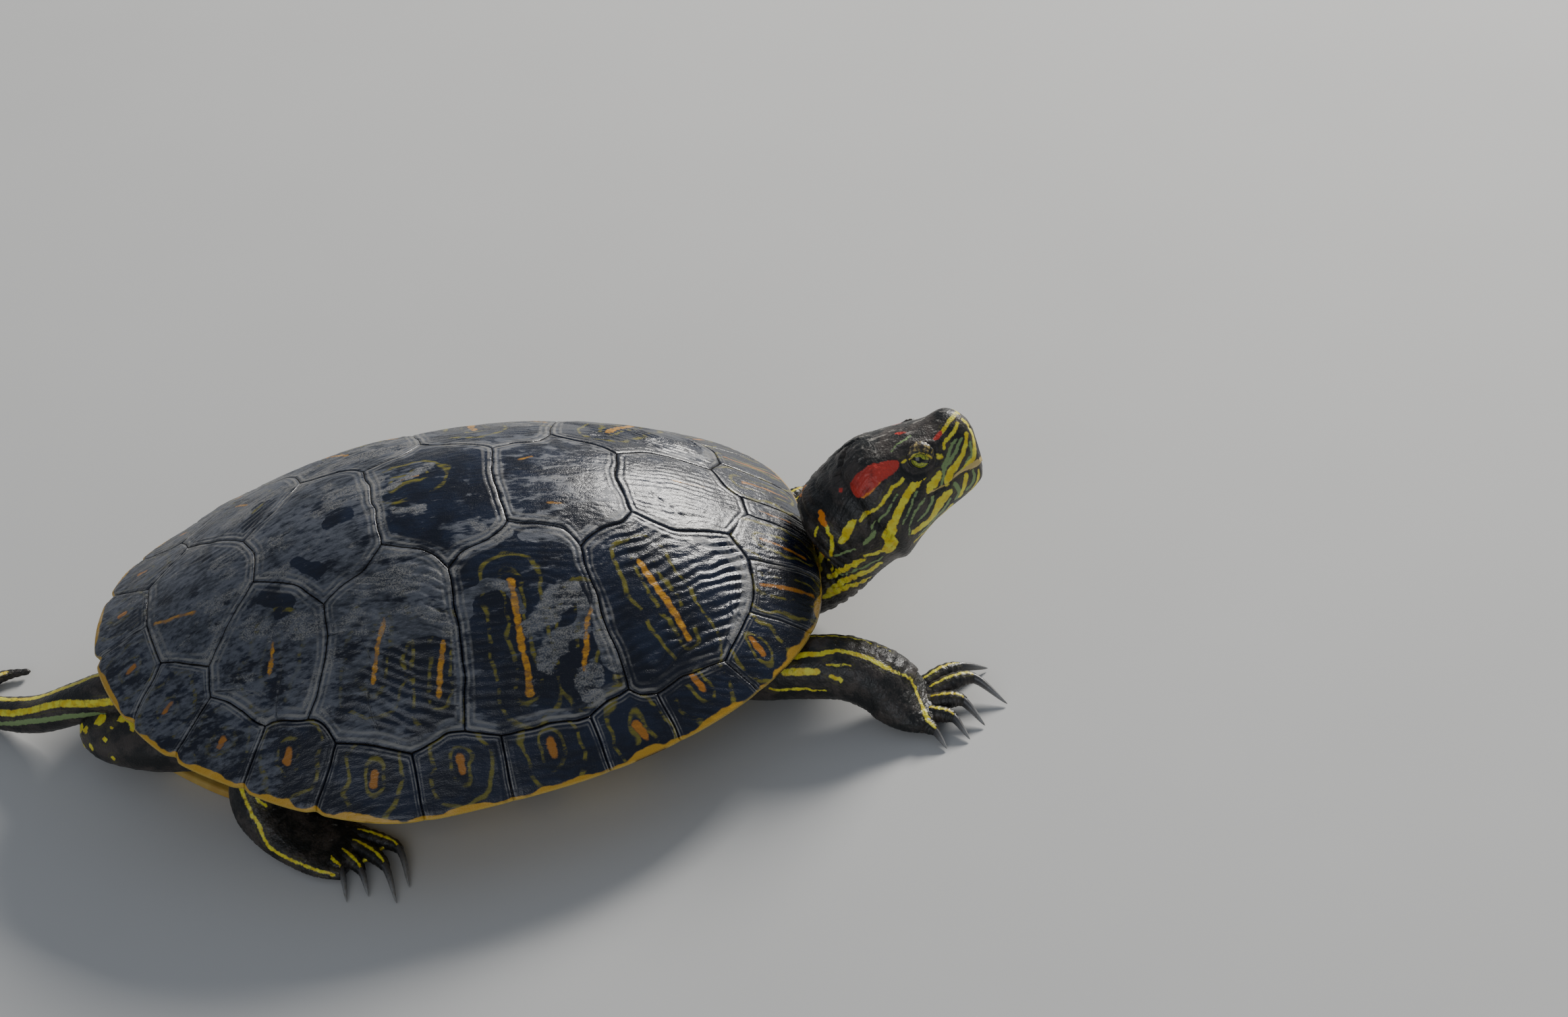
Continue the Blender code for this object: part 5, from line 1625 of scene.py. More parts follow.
@dataclass(frozen=True)
class Eye:
    """Where the eyes sit in the head, and the almond opening of their lids."""

    centre: tuple[float, float, float] = (-20.0, 9.7, 10.0)
    radius: float = 4.62
    half_length: float = 3.55
    half_height: float = 2.6
    middle: tuple[float, float] = (-19.8, 10.1)
    slant: float = math.radians(19.0)
    bar_slant: float = math.radians(29.0)
    lid_radius: float = 5.25
    socket_radius: float = 4.0
    arc_radius: float = 5.2
    bead_rows: tuple[float, ...] = (1.9, 3.5, 5.1)
    bead_length: float = 1.35

    def opening(self, local: Array, side: Side) -> tuple[Array, ...]:
        """Where points of the head's frame lie about one eye.

        Args:
            local: the points.
            side: which eye.

        Returns:
            Their distance from the ball's centre, their directions from it, the signed distance from the edge
            of the opening, below 0 inside, how far they face outwards, and their place along the opening and
            above its middle.
        """
        centre = np.array(self.centre) * (1.0, side.value, 1.0)
        away = local - centre
        distance = np.linalg.norm(away, axis=1)
        direction = away / np.maximum(distance, 1e-6)[:, None]
        around = np.arctan2(direction[:, 2], direction[:, 1] * side.value)
        along = centre[0] + self.arc_radius * np.arcsin(np.clip(direction[:, 0], -1, 1)) - self.middle[0]
        up = centre[2] + self.arc_radius * around - self.middle[1]
        u = along * math.cos(self.slant) - up * math.sin(self.slant)
        v = along * math.sin(self.slant) + up * math.cos(self.slant)
        shape = ((np.abs(u) / self.half_length) ** 1.7 + (np.abs(v) / self.half_height) ** 1.9) ** (1 / 1.8)
        edge = (shape - 1.0) * np.where(shape > 1, 3.2, 2.8)
        return distance, direction, edge, direction[:, 1] * side.value, u, v

    def build(self, side: Side, finish: bpy.types.Material) -> bpy.types.Object:
        """Make one eyeball, with its pupil facing out and a little forward.

        Args:
            side: which eye.
            finish: what it wears.

        Returns:
            The piece.
        """
        centre = np.array(self.centre) * (1.0, side.value, 1.0)
        gaze = unit(np.array([-0.05, side.value, 0.15]))
        right = unit(np.cross(gaze, (0.0, 0.0, 1.0)))
        up = np.cross(right, gaze)
        polar = np.linspace(0.02, math.pi - 0.02, 56)
        turn = np.linspace(0, 2 * math.pi, 72, endpoint=False)
        swell = self.radius + 0.28 * bell(polar, 0.55)
        rings = (centre + (swell * np.cos(polar))[:, None, None] * gaze
                 + (swell * np.sin(polar))[:, None, None] * (np.cos(turn)[None, :, None] * right
                                                             + np.sin(turn)[None, :, None] * up))
        body = tube(HeadFrame.out(rings))
        local = HeadFrame.into(body.points) - centre
        across, high = local @ right, local @ up
        front = local @ gaze > 0
        reach = np.hypot(across, high)
        line = math.cos(self.bar_slant) * high + math.sin(self.bar_slant) * side.value * across
        body.fields = {"pupil": np.where(front, reach - 1.0, FAR),
                       "bar": np.where(front, np.maximum(np.abs(line) - 0.52, reach - 3.5), FAR)}
        piece = make_piece(f"eyeball_{side.word}", body, finish)
        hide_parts(f"eye_{side.word}")
        return piece


EYE = Eye()


@dataclass(frozen=True)
class HeadAndNeck:
    """Head, jaw and neck as one loft, fine round the eyes, with lids, beak, creases and stripes."""

    # top x, top z, bottom x, bottom z, half width, midline y
    neck: tuple[tuple[float, ...], ...] = (
        (84, 26.6, 84, 7.6, 17, 0), (100, 28, 101, 7.6, 18, -.5), (110, 28, 114, 7.9, 18, -1),
        (116.9, 28.6, 123.5, 12, 18, -1.5), (117.2, 34, 131, 16.5, 18, -2), (113.6, 39.2, 134.6, 18.9, 18.2, -2.3),
        (112.6, 45, 137.5, 21, 18.4, -2.6), (119.2, 54, 141.5, 24, 18.6, -3.2))
    # x, half width, top, bottom, shear, from the back of the head to the beak
    head: tuple[tuple[float, ...], ...] = (
        (-37, 18.2, 17.6, -23.6, -.2), (-28, 16.6, 18.6, -18.6, -.13), (-22, 14.8, 18.7, -15.4, -.08),
        (-16, 12.6, 18.5, -13, -.03), (-10, 9.8, 18.2, -10.8, 0), (-4.6, 7.2, 17.4, -8.4, 0),
        (-1.6, 5.4, 14.8, -6, 0), (-.3, 3.2, 11.2, -2.6, 0))
    # first station, last station, how many sections are read between them
    runs: tuple[tuple[int, int, int], ...] = (
        (0, 2, 6), (2, 7, 52), (7, 8, 9), (8, 9, 18), (9, 10, 16), (10, 11, 22), (11, 12, 22), (12, 13, 15),
        (13, 14, 13), (14, 15, 10))
    sides: int = 228
    depth: float = 0.22
    snout_gain: float = 0.32

    def angles(self) -> Array:
        """Angles round a section, closer together at the eyes.

        Returns:
            The angles in radians.
        """
        even = np.linspace(0, 2 * math.pi, 2001)
        crowd = 1.0 + sum(1.5 * bell(even - centre, 0.36) for centre in (0.55, math.pi - 0.55))
        total = np.concatenate([[0], np.cumsum(0.5 * (crowd[1:] + crowd[:-1]))])
        return np.interp(np.arange(self.sides) / self.sides, total / total[-1], even)

    def places(self) -> Array:
        """Where the sections are read, counted in stations: closer together towards the eyes and beak."""
        runs = [np.linspace(first, last, count, endpoint=False) for first, last, count in self.runs]
        return np.concatenate(runs + [[float(self.runs[-1][1])]])

    def rings(self) -> Array:
        """The sections in the model's frame, from the neck's root to the beak.

        Returns:
            The sections.
        """
        angle = self.angles()
        stations = []
        for top_x, top_z, low_x, low_z, half_width, y in self.neck:
            top, low = np.array([top_x, y, top_z]), np.array([low_x, y, low_z])
            half = 0.5 * np.linalg.norm(top - low)
            flat = superellipse(np.array([half_width]), np.array([half]), np.array([-half]), angle)[0]
            stations.append(0.5 * (top + low) + flat[:, :1] * np.array([0.0, 1.0, 0.0])
                            + flat[:, 1:] * unit(top - low))
        for x, half_width, top, bottom, shear in self.head:
            flat = superellipse(*(np.array([v]) for v in (half_width, top, bottom)), angle)[0]
            stations.append(HeadFrame.out(np.column_stack([x + shear * flat[:, 1], flat])))
        return read_curve(np.array(stations), self.places())

    def lids(self, local: Array, fields: dict[str, Array]) -> Array:
        """Draw the skin over the eyeballs into lids and open the almond between them.

        A point near a ball is moved along its ray to the ball's radius inside the opening, and outside it to
        the lids' radius. The upper lid is a dome that carries a ridge at its edge and rows of beads above it;
        the lower lid is a narrow dark roll.

        Args:
            local: the skin's points in the head's frame.
            fields: the skin's fields, which are changed.

        Returns:
            The points, moved.
        """
        out = local.copy()
        for side in Side:
            distance, direction, edge, outward, u, v = EYE.opening(out, side)
            near = (distance < 11.0) & ((outward > 0.1) | ((direction[:, 2] > 0.7) & (outward > -0.4)))
            above = smooth((v + 0.4) / 1.6)
            ridge = above * bell(edge - 0.45, 0.30)
            rows = sum(bell(edge - middle, 0.60) for middle in EYE.bead_rows)
            sway = grain(out, 2.6, 61)
            blocks = 0.5 + 0.5 * np.sin(2 * math.pi * (u / EYE.bead_length + 0.5 * sway))
            dome = EYE.lid_radius + 0.95 * above * smooth(edge / 4.5)
            target = EYE.socket_radius + (dome - EYE.socket_radius) * smooth((edge + 0.22) / 0.44)
            target = target + 0.24 * ridge + above * rows * (0.05 + 0.30 * blocks)
            target = target + (1 - above) * (0.14 * bell(edge - 0.45, 0.32) - 0.22 * bell(edge - 1.25, 0.26))
            cap = np.hypot(u / 5.3, (v - 1.7) / 5.9)
            share = 1 - smooth((cap - 0.82) / 0.30)
            reach = np.where(near, share * target + (1 - share) * distance, distance)
            centre = np.array(EYE.centre) * (1.0, side.value, 1.0)
            out = np.where(near[:, None], centre + direction * reach[:, None], out)
            lid = near & (cap < 1.0) & (edge > 0)
            mottle = 0.30 - 0.46 * rows * blocks * above + 1.2 * (1 - above) + 2.0 * smooth((cap - 0.8) / 0.2)
            fields["horn"] = np.where(lid, np.minimum(mottle, fields["horn"]), fields["horn"])
            fields["pale"] = np.where(lid, above * 0.55 * rows * (1 - blocks), fields["pale"])
            fields["lid"] = np.where(near, np.minimum(fields["lid"], np.where(cap < 1.15, 0.0, FAR)), fields["lid"])
            fields["ridge"] = np.where(near & (above > 0.5), np.minimum(
                fields["ridge"], np.abs(edge - 0.45) - 0.20), fields["ridge"])
        return out

    def face(self, local: Array, folded: Array, over: Array, on_mouth: Array) -> Array:
        """Relief of the face in mm: the mouth, the jaw set back under it, nostrils, snout, orbit and brow.

        Args:
            local: the skin's points in the head's frame.
            folded: the same, all on the right side.
            over: their height above the mouth.
            on_mouth: their distance from its line.

        Returns:
            The relief.
        """
        jaw = smooth((local[:, 0] + 22.0) / 3.0)
        rise = -self.depth - 0.50 * bell(on_mouth, 0.34) + 0.12 * jaw * bell(over - 0.8, 0.8)
        rise = rise - 0.50 * jaw * smooth((0.25 - over) / 0.5) * np.exp(np.minimum(over, 0) / 5.0)
        for nostril in NOSTRIL:
            rise = rise - 0.8 * bell(np.linalg.norm(folded - nostril, axis=1), 0.62)
        rise = rise + 2.2 * bell(np.linalg.norm((local - SNOUT) / (1.0, 1.2, 1.0), axis=1), 4.6)
        rise = rise - 0.40 * bell(near_line(folded, through(np.array(ORBIT_GROOVE), 4)), 0.55)
        return rise + 0.45 * bell(near_line(folded, np.array(BROW_RIDGE)), 1.3)

    def root(self, x: Array) -> Array:
        """0 on the head and 1 on the neck."""
        return smooth((-36.0 - x) / 8.0)

    def folds(self, rings: Array, local: Array) -> Array:
        """Depth in mm of the neck's folds: a sharpened sine of the length along it, deeper behind the head.

        Args:
            rings: the sections.
            local: their points in the head's frame.

        Returns:
            The depth.
        """
        step = np.linalg.norm(np.diff(rings.mean(axis=1), axis=0), axis=1)
        along = np.repeat(np.cumsum(np.concatenate([[0.0], step])), rings.shape[1])
        wave = along / 3.1 + 1.2 * grain(local, 14.0, 41, 2)
        pleat = (0.5 + 0.5 * np.sin(2 * math.pi * wave)) ** 3 * (0.6 + 0.4 * grain(local, 9.0, 43))
        return (0.45 + 0.55 * smooth((-44.0 - local[:, 0]) / 6.0)) * self.root(local[:, 0]) * pleat

    def pebbles(self, local: Array) -> tuple[Array, Array]:
        """Relief of the small scales, which are faint on the face, and how far a point is from their gaps.

        Args:
            local: the skin's points in the head's frame.

        Returns:
            The relief in mm, and a number from 0 in a gap to 1 on a scale.
        """
        cell, number = scale_cells(local * (0.8, 1.0, 1.0), 1.5, 47)
        rough = smooth((-26.0 - local[:, 0]) / 12.0) * 0.85 + 0.15
        rise = rough * (0.20 * (smooth(cell * 2.2) - 0.6) + 0.10 * (number - 0.5) * smooth(cell * 3))
        return rise + 0.11 * grain(local * (0.7, 1.0, 1.0), 2.4, 53, 2), 1 - rough * (1 - smooth(cell * 2.0))

    def mark(self, fields: dict[str, Array], local: Array, tint: Tint, lines: tuple) -> None:
        """Draw markings on both sides of the head, wider on the snout than their rows say.

        Args:
            fields: the skin's fields, which are changed.
            local: the skin's points in the head's frame.
            tint: the markings' colour.
            lines: their rows of x, y, z and half width on the right side.
        """
        for line in lines:
            rows = np.array(line, dtype=float)
            widths = rows[:, 3] * (1 + self.snout_gain * smooth((rows[:, 0] + 24) / 6))
            for mirror in (1.0, -1.0):
                paint(fields, local, tint, rows[:, :3] * (1.0, mirror, 1.0), widths)

    def build(self) -> Body:
        """Make the body.

        Returns:
            Head and neck, with their markings.
        """
        rings = self.rings()
        local = HeadFrame.into(rings.reshape(-1, 3))
        lean = ring_normals(rings).reshape(-1, 3) @ HeadFrame.turn()
        fields = blank_fields(len(local))
        fields.update(lid=np.full(len(local), FAR), ridge=np.full(len(local), FAR), pale=np.zeros(len(local)))
        folded = np.column_stack([local[:, 0], -np.abs(local[:, 1]), local[:, 2]])
        mouth = np.array(MOUTH_LINE)
        over = local[:, 2] - np.interp(local[:, 0], mouth[::-1, 0], mouth[::-1, 2])
        on_mouth = near_line(folded, mouth)
        crease = line_field(folded, np.array(JAW_CREASE), np.zeros(len(JAW_CREASE)))
        rise = self.face(local, folded, over, on_mouth) - 1.35 * bell(crease, 0.48) + 0.22 * bell(crease - 1.3, 0.7)
        pebbles, fields["cell"] = self.pebbles(local)
        # The jaw crease takes the dark colour of the scales' gaps: painted shade in the crease
        fields["cell"] = np.minimum(fields["cell"], 1 - bell(crease, 0.45))
        rise = rise - self.folds(rings, local) + pebbles
        x = local[:, 0]
        local = self.lids(local + lean * rise[:, None], fields)
        for tint, lines in HEAD_STRIPES.items():
            self.mark(fields, local, tint, lines)
        for tint in (Tint.YELLOW, Tint.OLIVE):
            fields[tint.value] = np.where(fields["lid"] < 1.0, FAR, fields[tint.value])
        self.mark(fields, local, Tint.YELLOW, LID_CORNERS)
        fields[Tint.YELLOW.value] = np.minimum(fields[Tint.YELLOW.value], fields["ridge"])
        front = smooth((x + 12.0) / 9.0)
        beak = np.abs(over - 0.55 - 0.35 * front) - 0.45 - 0.75 * front + 0.3 * grain(local, 2.0, 59)
        beak = np.maximum(beak, 0.55 - 1.6 * on_mouth)
        fields["horn"] = np.minimum(fields["horn"], np.where(x > -20.0, beak, FAR))
        # Skin of the head that faces up gets the pale scuff colour as painted sky sheen, less on the neck; the lid's
        # pale beads join it
        crown = smooth((lean[:, 2] - 0.45) / 0.4)
        fields["scuff"] = np.maximum(0.46 * crown * (1 - 0.35 * self.root(x)), fields["pale"])
        body = tube(HeadFrame.out(local).reshape(rings.shape), nose=0.3)
        body.fields = {key: np.concatenate([values, values[:1], values[-1:]]) for key, values in fields.items()
                       if key not in ("lid", "ridge", "pale")}
        return body


# Limbs of the right side: centre x, y, z, half width, half height of each section
FORE_ROWS = ((72, -33, 15.5, 10, 8.6), (88, -41, 16.4, 11, 9.6), (103, -47, 17.6, 10.6, 9.8),
             (116, -51.5, 17.2, 10.6, 10), (126, -56, 12.6, 11.2, 9.4), (131, -60, 7.6, 11.6, 7.4),
             (136.5, -62.5, 4.5, 11.8, 4.9), (141, -63.5, 3.4, 10, 3.8))
HIND_ROWS = ((-54, -30, 16, 10, 9), (-66, -39, 16.4, 11.2, 10), (-75, -45, 15.4, 10.6, 9.8),
             (-77, -50, 11.4, 9.6, 8.4), (-73, -56, 7.2, 10.4, 6.6), (-66, -62.5, 4.6, 12, 5),
             (-58, -68.5, 3.6, 13.4, 4), (-51, -73, 2.8, 12.4, 3.2))
# Digits: root, knuckle, claw root, claw tip, radius
FORE_DIGITS = (((137, -55, 5), (146, -51, 6.4), (153, -48.5, 5), (161.5, -47, .8), 3),
               ((139, -59, 5.2), (149, -57, 7), (156, -57, 6), (164, -66, .8), 3.2),
               ((139, -62.5, 5), (146.5, -64.5, 6.4), (150.5, -66.5, 5.4), (155, -74, .8), 3.1),
               ((137, -66, 4.6), (143, -69.5, 5), (146, -72, 4.2), (149, -79, .8), 2.9),
               ((134.6, -68.2, 4.2), (137.4, -73, 4.2), (139, -75.5, 3.4), (141, -81, .8), 2.7))
HIND_DIGITS = (((-50, -64, 3.4), (-42, -70.5, 3.9), (-36.5, -77, 3.4), (-36, -92, .8), 2.9),
               ((-52, -68, 3.4), (-45.5, -76.5, 4.2), (-42, -84, 3.6), (-41, -98, .8), 3),
               ((-56, -70.5, 3.4), (-52, -77.5, 4), (-49.8, -83, 3.2), (-49.3, -92, .8), 2.8),
               ((-60, -71, 3.4), (-58, -77, 4), (-56, -81, 3.2), (-56.4, -92.5, .8), 2.7))
TAIL_ROWS = ((-104, 2, 19, 10.5, 9.5), (-112, 3.5, 21.2, 9.2, 8.6), (-120, 6.5, 22.2, 8, 7.6),
             (-130, 11, 17.8, 7.2, 6.8), (-142, 17.5, 11.2, 6.6, 6.2), (-153, 25.5, 7.4, 5.9, 5.6),
             (-160.6, 33, 5.6, 5, 4.8), (-163.2, 41.5, 4.4, 4.1, 3.9), (-159.4, 48, 3.6, 3.2, 3),
             (-152, 51, 2.6, 2, 1.8), (-145, 51, 2.2, 1.2, 1.2))
TRUNK_ROWS = ((-130, 5, 11, 16), (-126, 12, 9, 19.5), (-118, 20, 8.4, 23), (-107, 27, 8, 27), (-92, 31, 6.8, 29),
              (-72, 36, 5.6, 27.6), (-45, 44, 5.6, 27.6), (0, 47, 5.6, 27.6), (45, 46, 5.6, 27.6), (76, 30, 5.6, 27.4),
              (84, 20, 7, 25.5))
RUMP_SPOTS = ((-123, -3, 20.7, 1.5), (-128, -2.6, 17.4, 1.1), (-129, .5, 15, 1.5), (-122.7, -12, 19.5, 1.2),
              (-115.3, -7, 23.8, 1.2), (-127.4, -9.2, 15.4, 1.4), (-118.5, -9.5, 21, .8), (-129.5, -4, 12.5, 1.2),
              (-112.5, -13, 21.5, .9), (-120.5, -17, 15.5, 1), (-126.5, 3.5, 19.5, .9))
FOOT_ROW = 5


@dataclass
class Sweep:
    """A limb or tail: sections swept along a path of (x, y, z, half width, half height) rows.

    Attributes:
        rows: the path.
        span_steps: sections for each span between rows.
        sides: points in a section.
        cell: mean size of its scales in mm.
        relief: height of the scales in mm.
        stripes: for each tint, its lines of (row, angle in degrees, half width) on the surface.
        nose: how far the end is drawn out.
        power: squareness of the sections.
        depth: how far the skin lies inside the solid.
        whorl: for a tail, the length of its square scales in mm and how many stand round it.
        shields: large smooth scales as (row, angle in degrees, half length, half width, lift) in mm.
    """

    rows: Array
    span_steps: int
    sides: int
    cell: float = 1.8
    relief: float = 0.2
    stripes: dict[Tint, tuple] = field(default_factory=dict)
    nose: float = 0.0
    power: float = 2.3
    depth: float = 0.2
    whorl: tuple[float, int] = (0.0, 0)
    shields: tuple[tuple[float, float, float, float, float], ...] = ()

    def rings(self) -> Array:
        """The sections.

        Returns:
            The rings.
        """
        count = (len(self.rows) - 1) * self.span_steps + 1
        path = read_curve(self.rows, np.linspace(0, len(self.rows) - 1, count))
        return sections(path, path[:, 3:5], self.sides, self.power)

    def at(self, row: float, degrees: float) -> Array:
        """The surface's place at a row and an angle round the section, 90 on top.

        Args:
            row: the row, counted from 0.
            degrees: the angle.

        Returns:
            The place.
        """
        step = 0.02
        near = read_curve(self.rows, np.clip(np.array([row - step, row, row + step]), 0, len(self.rows) - 1))
        side, up = directions(near)
        flat = superellipse(near[1:2, 3], near[1:2, 4], -near[1:2, 4], np.radians([degrees]), self.power)[0, 0]
        return near[1, :3] + flat[0] * side[1] + flat[1] * up[1]

    def scales(self, rings: Array) -> tuple[Array, Array]:
        """Distance from the border of each scale, and the scale's number, for the points of the sections.

        Scales are pebbles of many sides; on a tail they are squares in whorls, each row half a scale on.

        Args:
            rings: the sections.

        Returns:
            The distances and the numbers.
        """
        flat = rings.reshape(-1, 3)
        if not self.whorl[1]:
            return scale_cells(flat, self.cell, 71)
        step = np.linalg.norm(np.diff(rings.mean(axis=1), axis=0), axis=1)
        along = np.concatenate([[0.0], np.cumsum(step)])[:, None] / self.whorl[0]
        along = along + 0.15 * grain(flat, 5.0, 77).reshape(rings.shape[:2])
        around = np.arange(self.sides)[None] / self.sides * self.whorl[1] + 0.5 * (np.floor(along) % 2)
        border = np.minimum(0.5 - np.abs(along % 1 - 0.5), 0.5 - np.abs(around % 1 - 0.5))
        number = (np.floor(along) * 0.37 + np.floor(around) * 0.61) % 1
        return border.ravel(), number.ravel()

    def shield_fields(self, flat: Array) -> tuple[Array, Array]:
        """How far each point stands under the large scales, and how near it lies to their borders.

        A scale is a squared oval that rises towards its far end, as overlapping scales do.

        Args:
            flat: the points of the sections.

        Returns:
            The lift in mm, and the nearness, 0 on a border.
        """
        lift, border = np.zeros(len(flat)), np.ones(len(flat))
        for row, degrees, long, wide, height in self.shields:
            middle = self.at(row, degrees)
            ahead = unit(self.at(row + 0.15, degrees) - self.at(row - 0.15, degrees))
            beside = unit(self.at(row, degrees + 8) - self.at(row, degrees - 8))
            away = flat - middle
            near = np.linalg.norm(away, axis=1) < 2.2 * max(long, wide)
            a, b = away @ ahead / long, away @ beside / wide
            shape = (np.abs(a) ** 3 + np.abs(b) ** 3) ** (1 / 3)
            inside = near & (shape < 1.25)
            tilt = height * (0.75 + 0.35 * a) * smooth((1.04 - shape) / 0.22)
            lift = np.where(inside, np.maximum(lift, tilt), lift)
            border = np.where(inside, np.minimum(border, np.abs(shape - 1.05) / 0.16), border)
        return lift, border

    def build(self) -> Body:
        """Make the body with its scales and stripes.

        Returns:
            The body.
        """
        rings = self.rings()
        normals = ring_normals(rings)
        flat = rings.reshape(-1, 3)
        fields = blank_fields(len(flat))
        cell, number = self.scales(rings)
        lift, border = self.shield_fields(flat)
        pebbles = 1 - smooth(lift / 0.12)
        relief = self.relief * (smooth(cell * 2.4) - 0.75) + 0.10 * (number - 0.5) * smooth(cell * 3)
        rise = -self.depth + relief * pebbles + lift - 0.18 * bell(border, 0.8) * (self.shields != ())
        rise = rise + 0.12 * grain(flat, 6.0, 73, 2) - 0.05
        clear = smooth((flat[:, 2] - 0.1) / 1.2)
        points = flat + normals.reshape(-1, 3) * (rise * clear)[:, None]
        points[:, 2] = np.maximum(points[:, 2], 0.0)
        fields["cell"] = np.minimum(1 - (1 - smooth(cell * 2.0)) * pebbles, border)
        # Skin that faces up gets the pale scuff colour as painted sky sheen
        fields["scuff"] = 0.22 * smooth((normals.reshape(-1, 3)[:, 2] - 0.3) / 0.5)
        body = tube(points.reshape(rings.shape), nose=self.nose)
        body.points[:, 2] = np.maximum(body.points[:, 2], 0.0)
        body.fields = {key: np.concatenate([values, values[:1], values[-1:]]) for key, values in fields.items()}
        for tint, lines in self.stripes.items():
            for places in lines:
                spots = np.array([self.at(row, degrees) for row, degrees, _ in places])
                paint(body.fields, body.points, tint, spots, np.array([width for *_, width in places]))
        return body


FORE_STRIPES = {
    Tint.YELLOW: (
        ((2.4, 112, 1), (2.7, 107, .8), (2.95, 104, .7), (3.2, 103, .8), (3.5, 104, .9), (3.85, 103, .8),
         (4.25, 93, .5), (4.6, 80, .5), (5.35, 90, .6), (5.85, 103, .5), (6.25, 128, .8), (6.7, 153, 1)),
        ((1.2, 122, 1), (1.8, 117, 1), (2.4, 112, 1)),
        ((1.7, 146, 1), (2, 146, 1.3), (2.4, 144, 1.1)),
        ((1.4, 180, .5), (2, 183, .5), (2.55, 186, .3)),
        ((2.6, 134, .3), (3.1, 127, .3)),
        ((2.7, 155, .7), (2.85, 157, .7), (2.95, 160, .5)),
        ((1.6, 66, .35), (2.4, 62, .4), (3.2, 64, .35), (3.8, 60, .3)),
    ),
}
# Large scales: row, angle in degrees, half length, half width, lift
FORE_SHIELDS = ((1.55, 88, 2.3, 3, .3), (1.9, 88, 2.3, 3, .3), (2.25, 86, 2.3, 3, .3), (2.6, 84, 2.2, 2.8, .3),
                (2.92, 84, 1.9, 2.6, .32), (3.18, 88, 1.5, 1.7, .38), (3.18, 66, 1.5, 1.9, .36),
                (3.42, 92, 1.4, 1.6, .42), (3.42, 74, 1.4, 1.6, .42), (3.42, 56, 1.4, 1.8, .38),
                (3.66, 84, 1.4, 1.6, .45), (3.66, 66, 1.4, 1.6, .45), (3.9, 88, 1.4, 1.6, .45),
                (3.9, 70, 1.4, 1.7, .45), (3.9, 52, 1.4, 1.8, .4), (4.16, 80, 1.5, 1.9, .45),
                (4.16, 60, 1.5, 1.9, .45), (4.45, 78, 1.8, 2.6, .5), (4.78, 74, 1.8, 2.4, .45),
                (5.1, 80, 1.7, 2.2, .4), (4.45, 50, 1.6, 2, .4), (1.7, 62, 2.6, 2.6, .22), (2.15, 60, 2.6, 2.6, .22),
                (2.6, 58, 2.5, 2.4, .24), (2.95, 56, 2, 2.2, .26))
HIND_SHIELDS = tuple((row, degrees, 1.9, 2.2, 0.28) for row in (2.5, 3.0, 3.5, 4.0, 4.5)
                     for degrees in (66, 84, 102, 120))
HIND_STRIPES = {
    Tint.YELLOW: (
        ((2.2, 112, .7), (3, 119, .6), (3.7, 137, .6), (4.4, 161, .6), (5.2, 158, .5), (6.3, 152, .5), (6.8, 157, .4)),
        ((1.2, 80, .5), (2, 84, .6), (2.8, 92, .5), (3.4, 100, .4)),
    ),
}
TAIL_STRIPES = {
    Tint.YELLOW: (
        ((1, 102, 1.1), (3, 101, 1.1), (5, 99, 1), (7, 98, .8), (9, 95, .5)),
        ((1, 44, 1.2), (3, 42, 1.2), (5, 42, 1), (7, 40, .8), (8.6, 40, .4)),
        ((1, 156, 1), (3, 156, 1), (5, 154, .9), (7, 154, .6)),
    ),
    Tint.OLIVE: (
        ((1, 2, .9), (3, 4, 1), (5, 4, .8), (7, 6, .5)),
    ),
}


@dataclass
class Digit:
    """One toe with its claw: a path from the root over the knuckle to the claw's tip."""

    joints: Array
    radius: float
    flesh_end: float = 2.1
    claw_start: float = 1.78
    claw_end: float = 2.99
    folds: float = 3.2
    claw_sides: int = 14

    def path(self) -> Array:
        """The digit's rows: place, half width, half height."""
        radii = self.radius * np.array([[1.0, 1.0], [0.95, 0.90], [0.62, 0.60], [0.20, 0.24]])
        return np.column_stack([self.joints, radii])

    def sweep(self, at: Array, sides: int, half: Array) -> Array:
        """Rings at places along the digit, with their own half widths and heights."""
        return sections(read_curve(self.path(), at), half, sides, 2.1)

    def flesh(self) -> Body:
        """The toe without its claw, with cross scales on top and a yellow stripe along it.

        Returns:
            The body.
        """
        sides = 18
        at = np.linspace(0, self.flesh_end, 26)
        wave = np.sin(at * 2 * math.pi * self.folds)
        half = read_curve(self.path(), at)[:, 3:5] - 0.12
        half = half * (1 - 0.45 * smooth((at - 1.85) / 0.25))[:, None] * (1 + 0.05 * wave)[:, None]
        body = tube(self.sweep(at, sides, half), nose=0.3)
        body.fields = blank_fields(len(body.points))
        line = read_curve(self.path(), np.linspace(0.2, 1.9, 6))
        spots = line[:, :3] + np.array([0.0, 0.0, 1.0]) * line[:, 4:5]
        paint(body.fields, body.points, Tint.YELLOW, spots, np.array([.35, .45, .5, .5, .45, .3]))
        body.fields["cell"] = np.concatenate([np.repeat(0.5 + 0.5 * wave, sides), [1.0, 1.0]])
        return body

    def claw(self) -> Body:
        """The claw: a curved horn drawn out to a point.

        Returns:
            The body.
        """
        share = np.linspace(0, 1, 22)
        at = self.claw_start + (self.claw_end - self.claw_start) * share
        width = self.radius * 0.50 * (1 - share ** 1.6) ** 0.8 + 0.16
        body = tube(self.sweep(at, self.claw_sides, np.column_stack([width * 0.82, width * 1.08])), nose=0.25)
        body.fields = {"reach": np.concatenate([np.repeat(share, self.claw_sides), [0.0, 1.0]])}
        return body


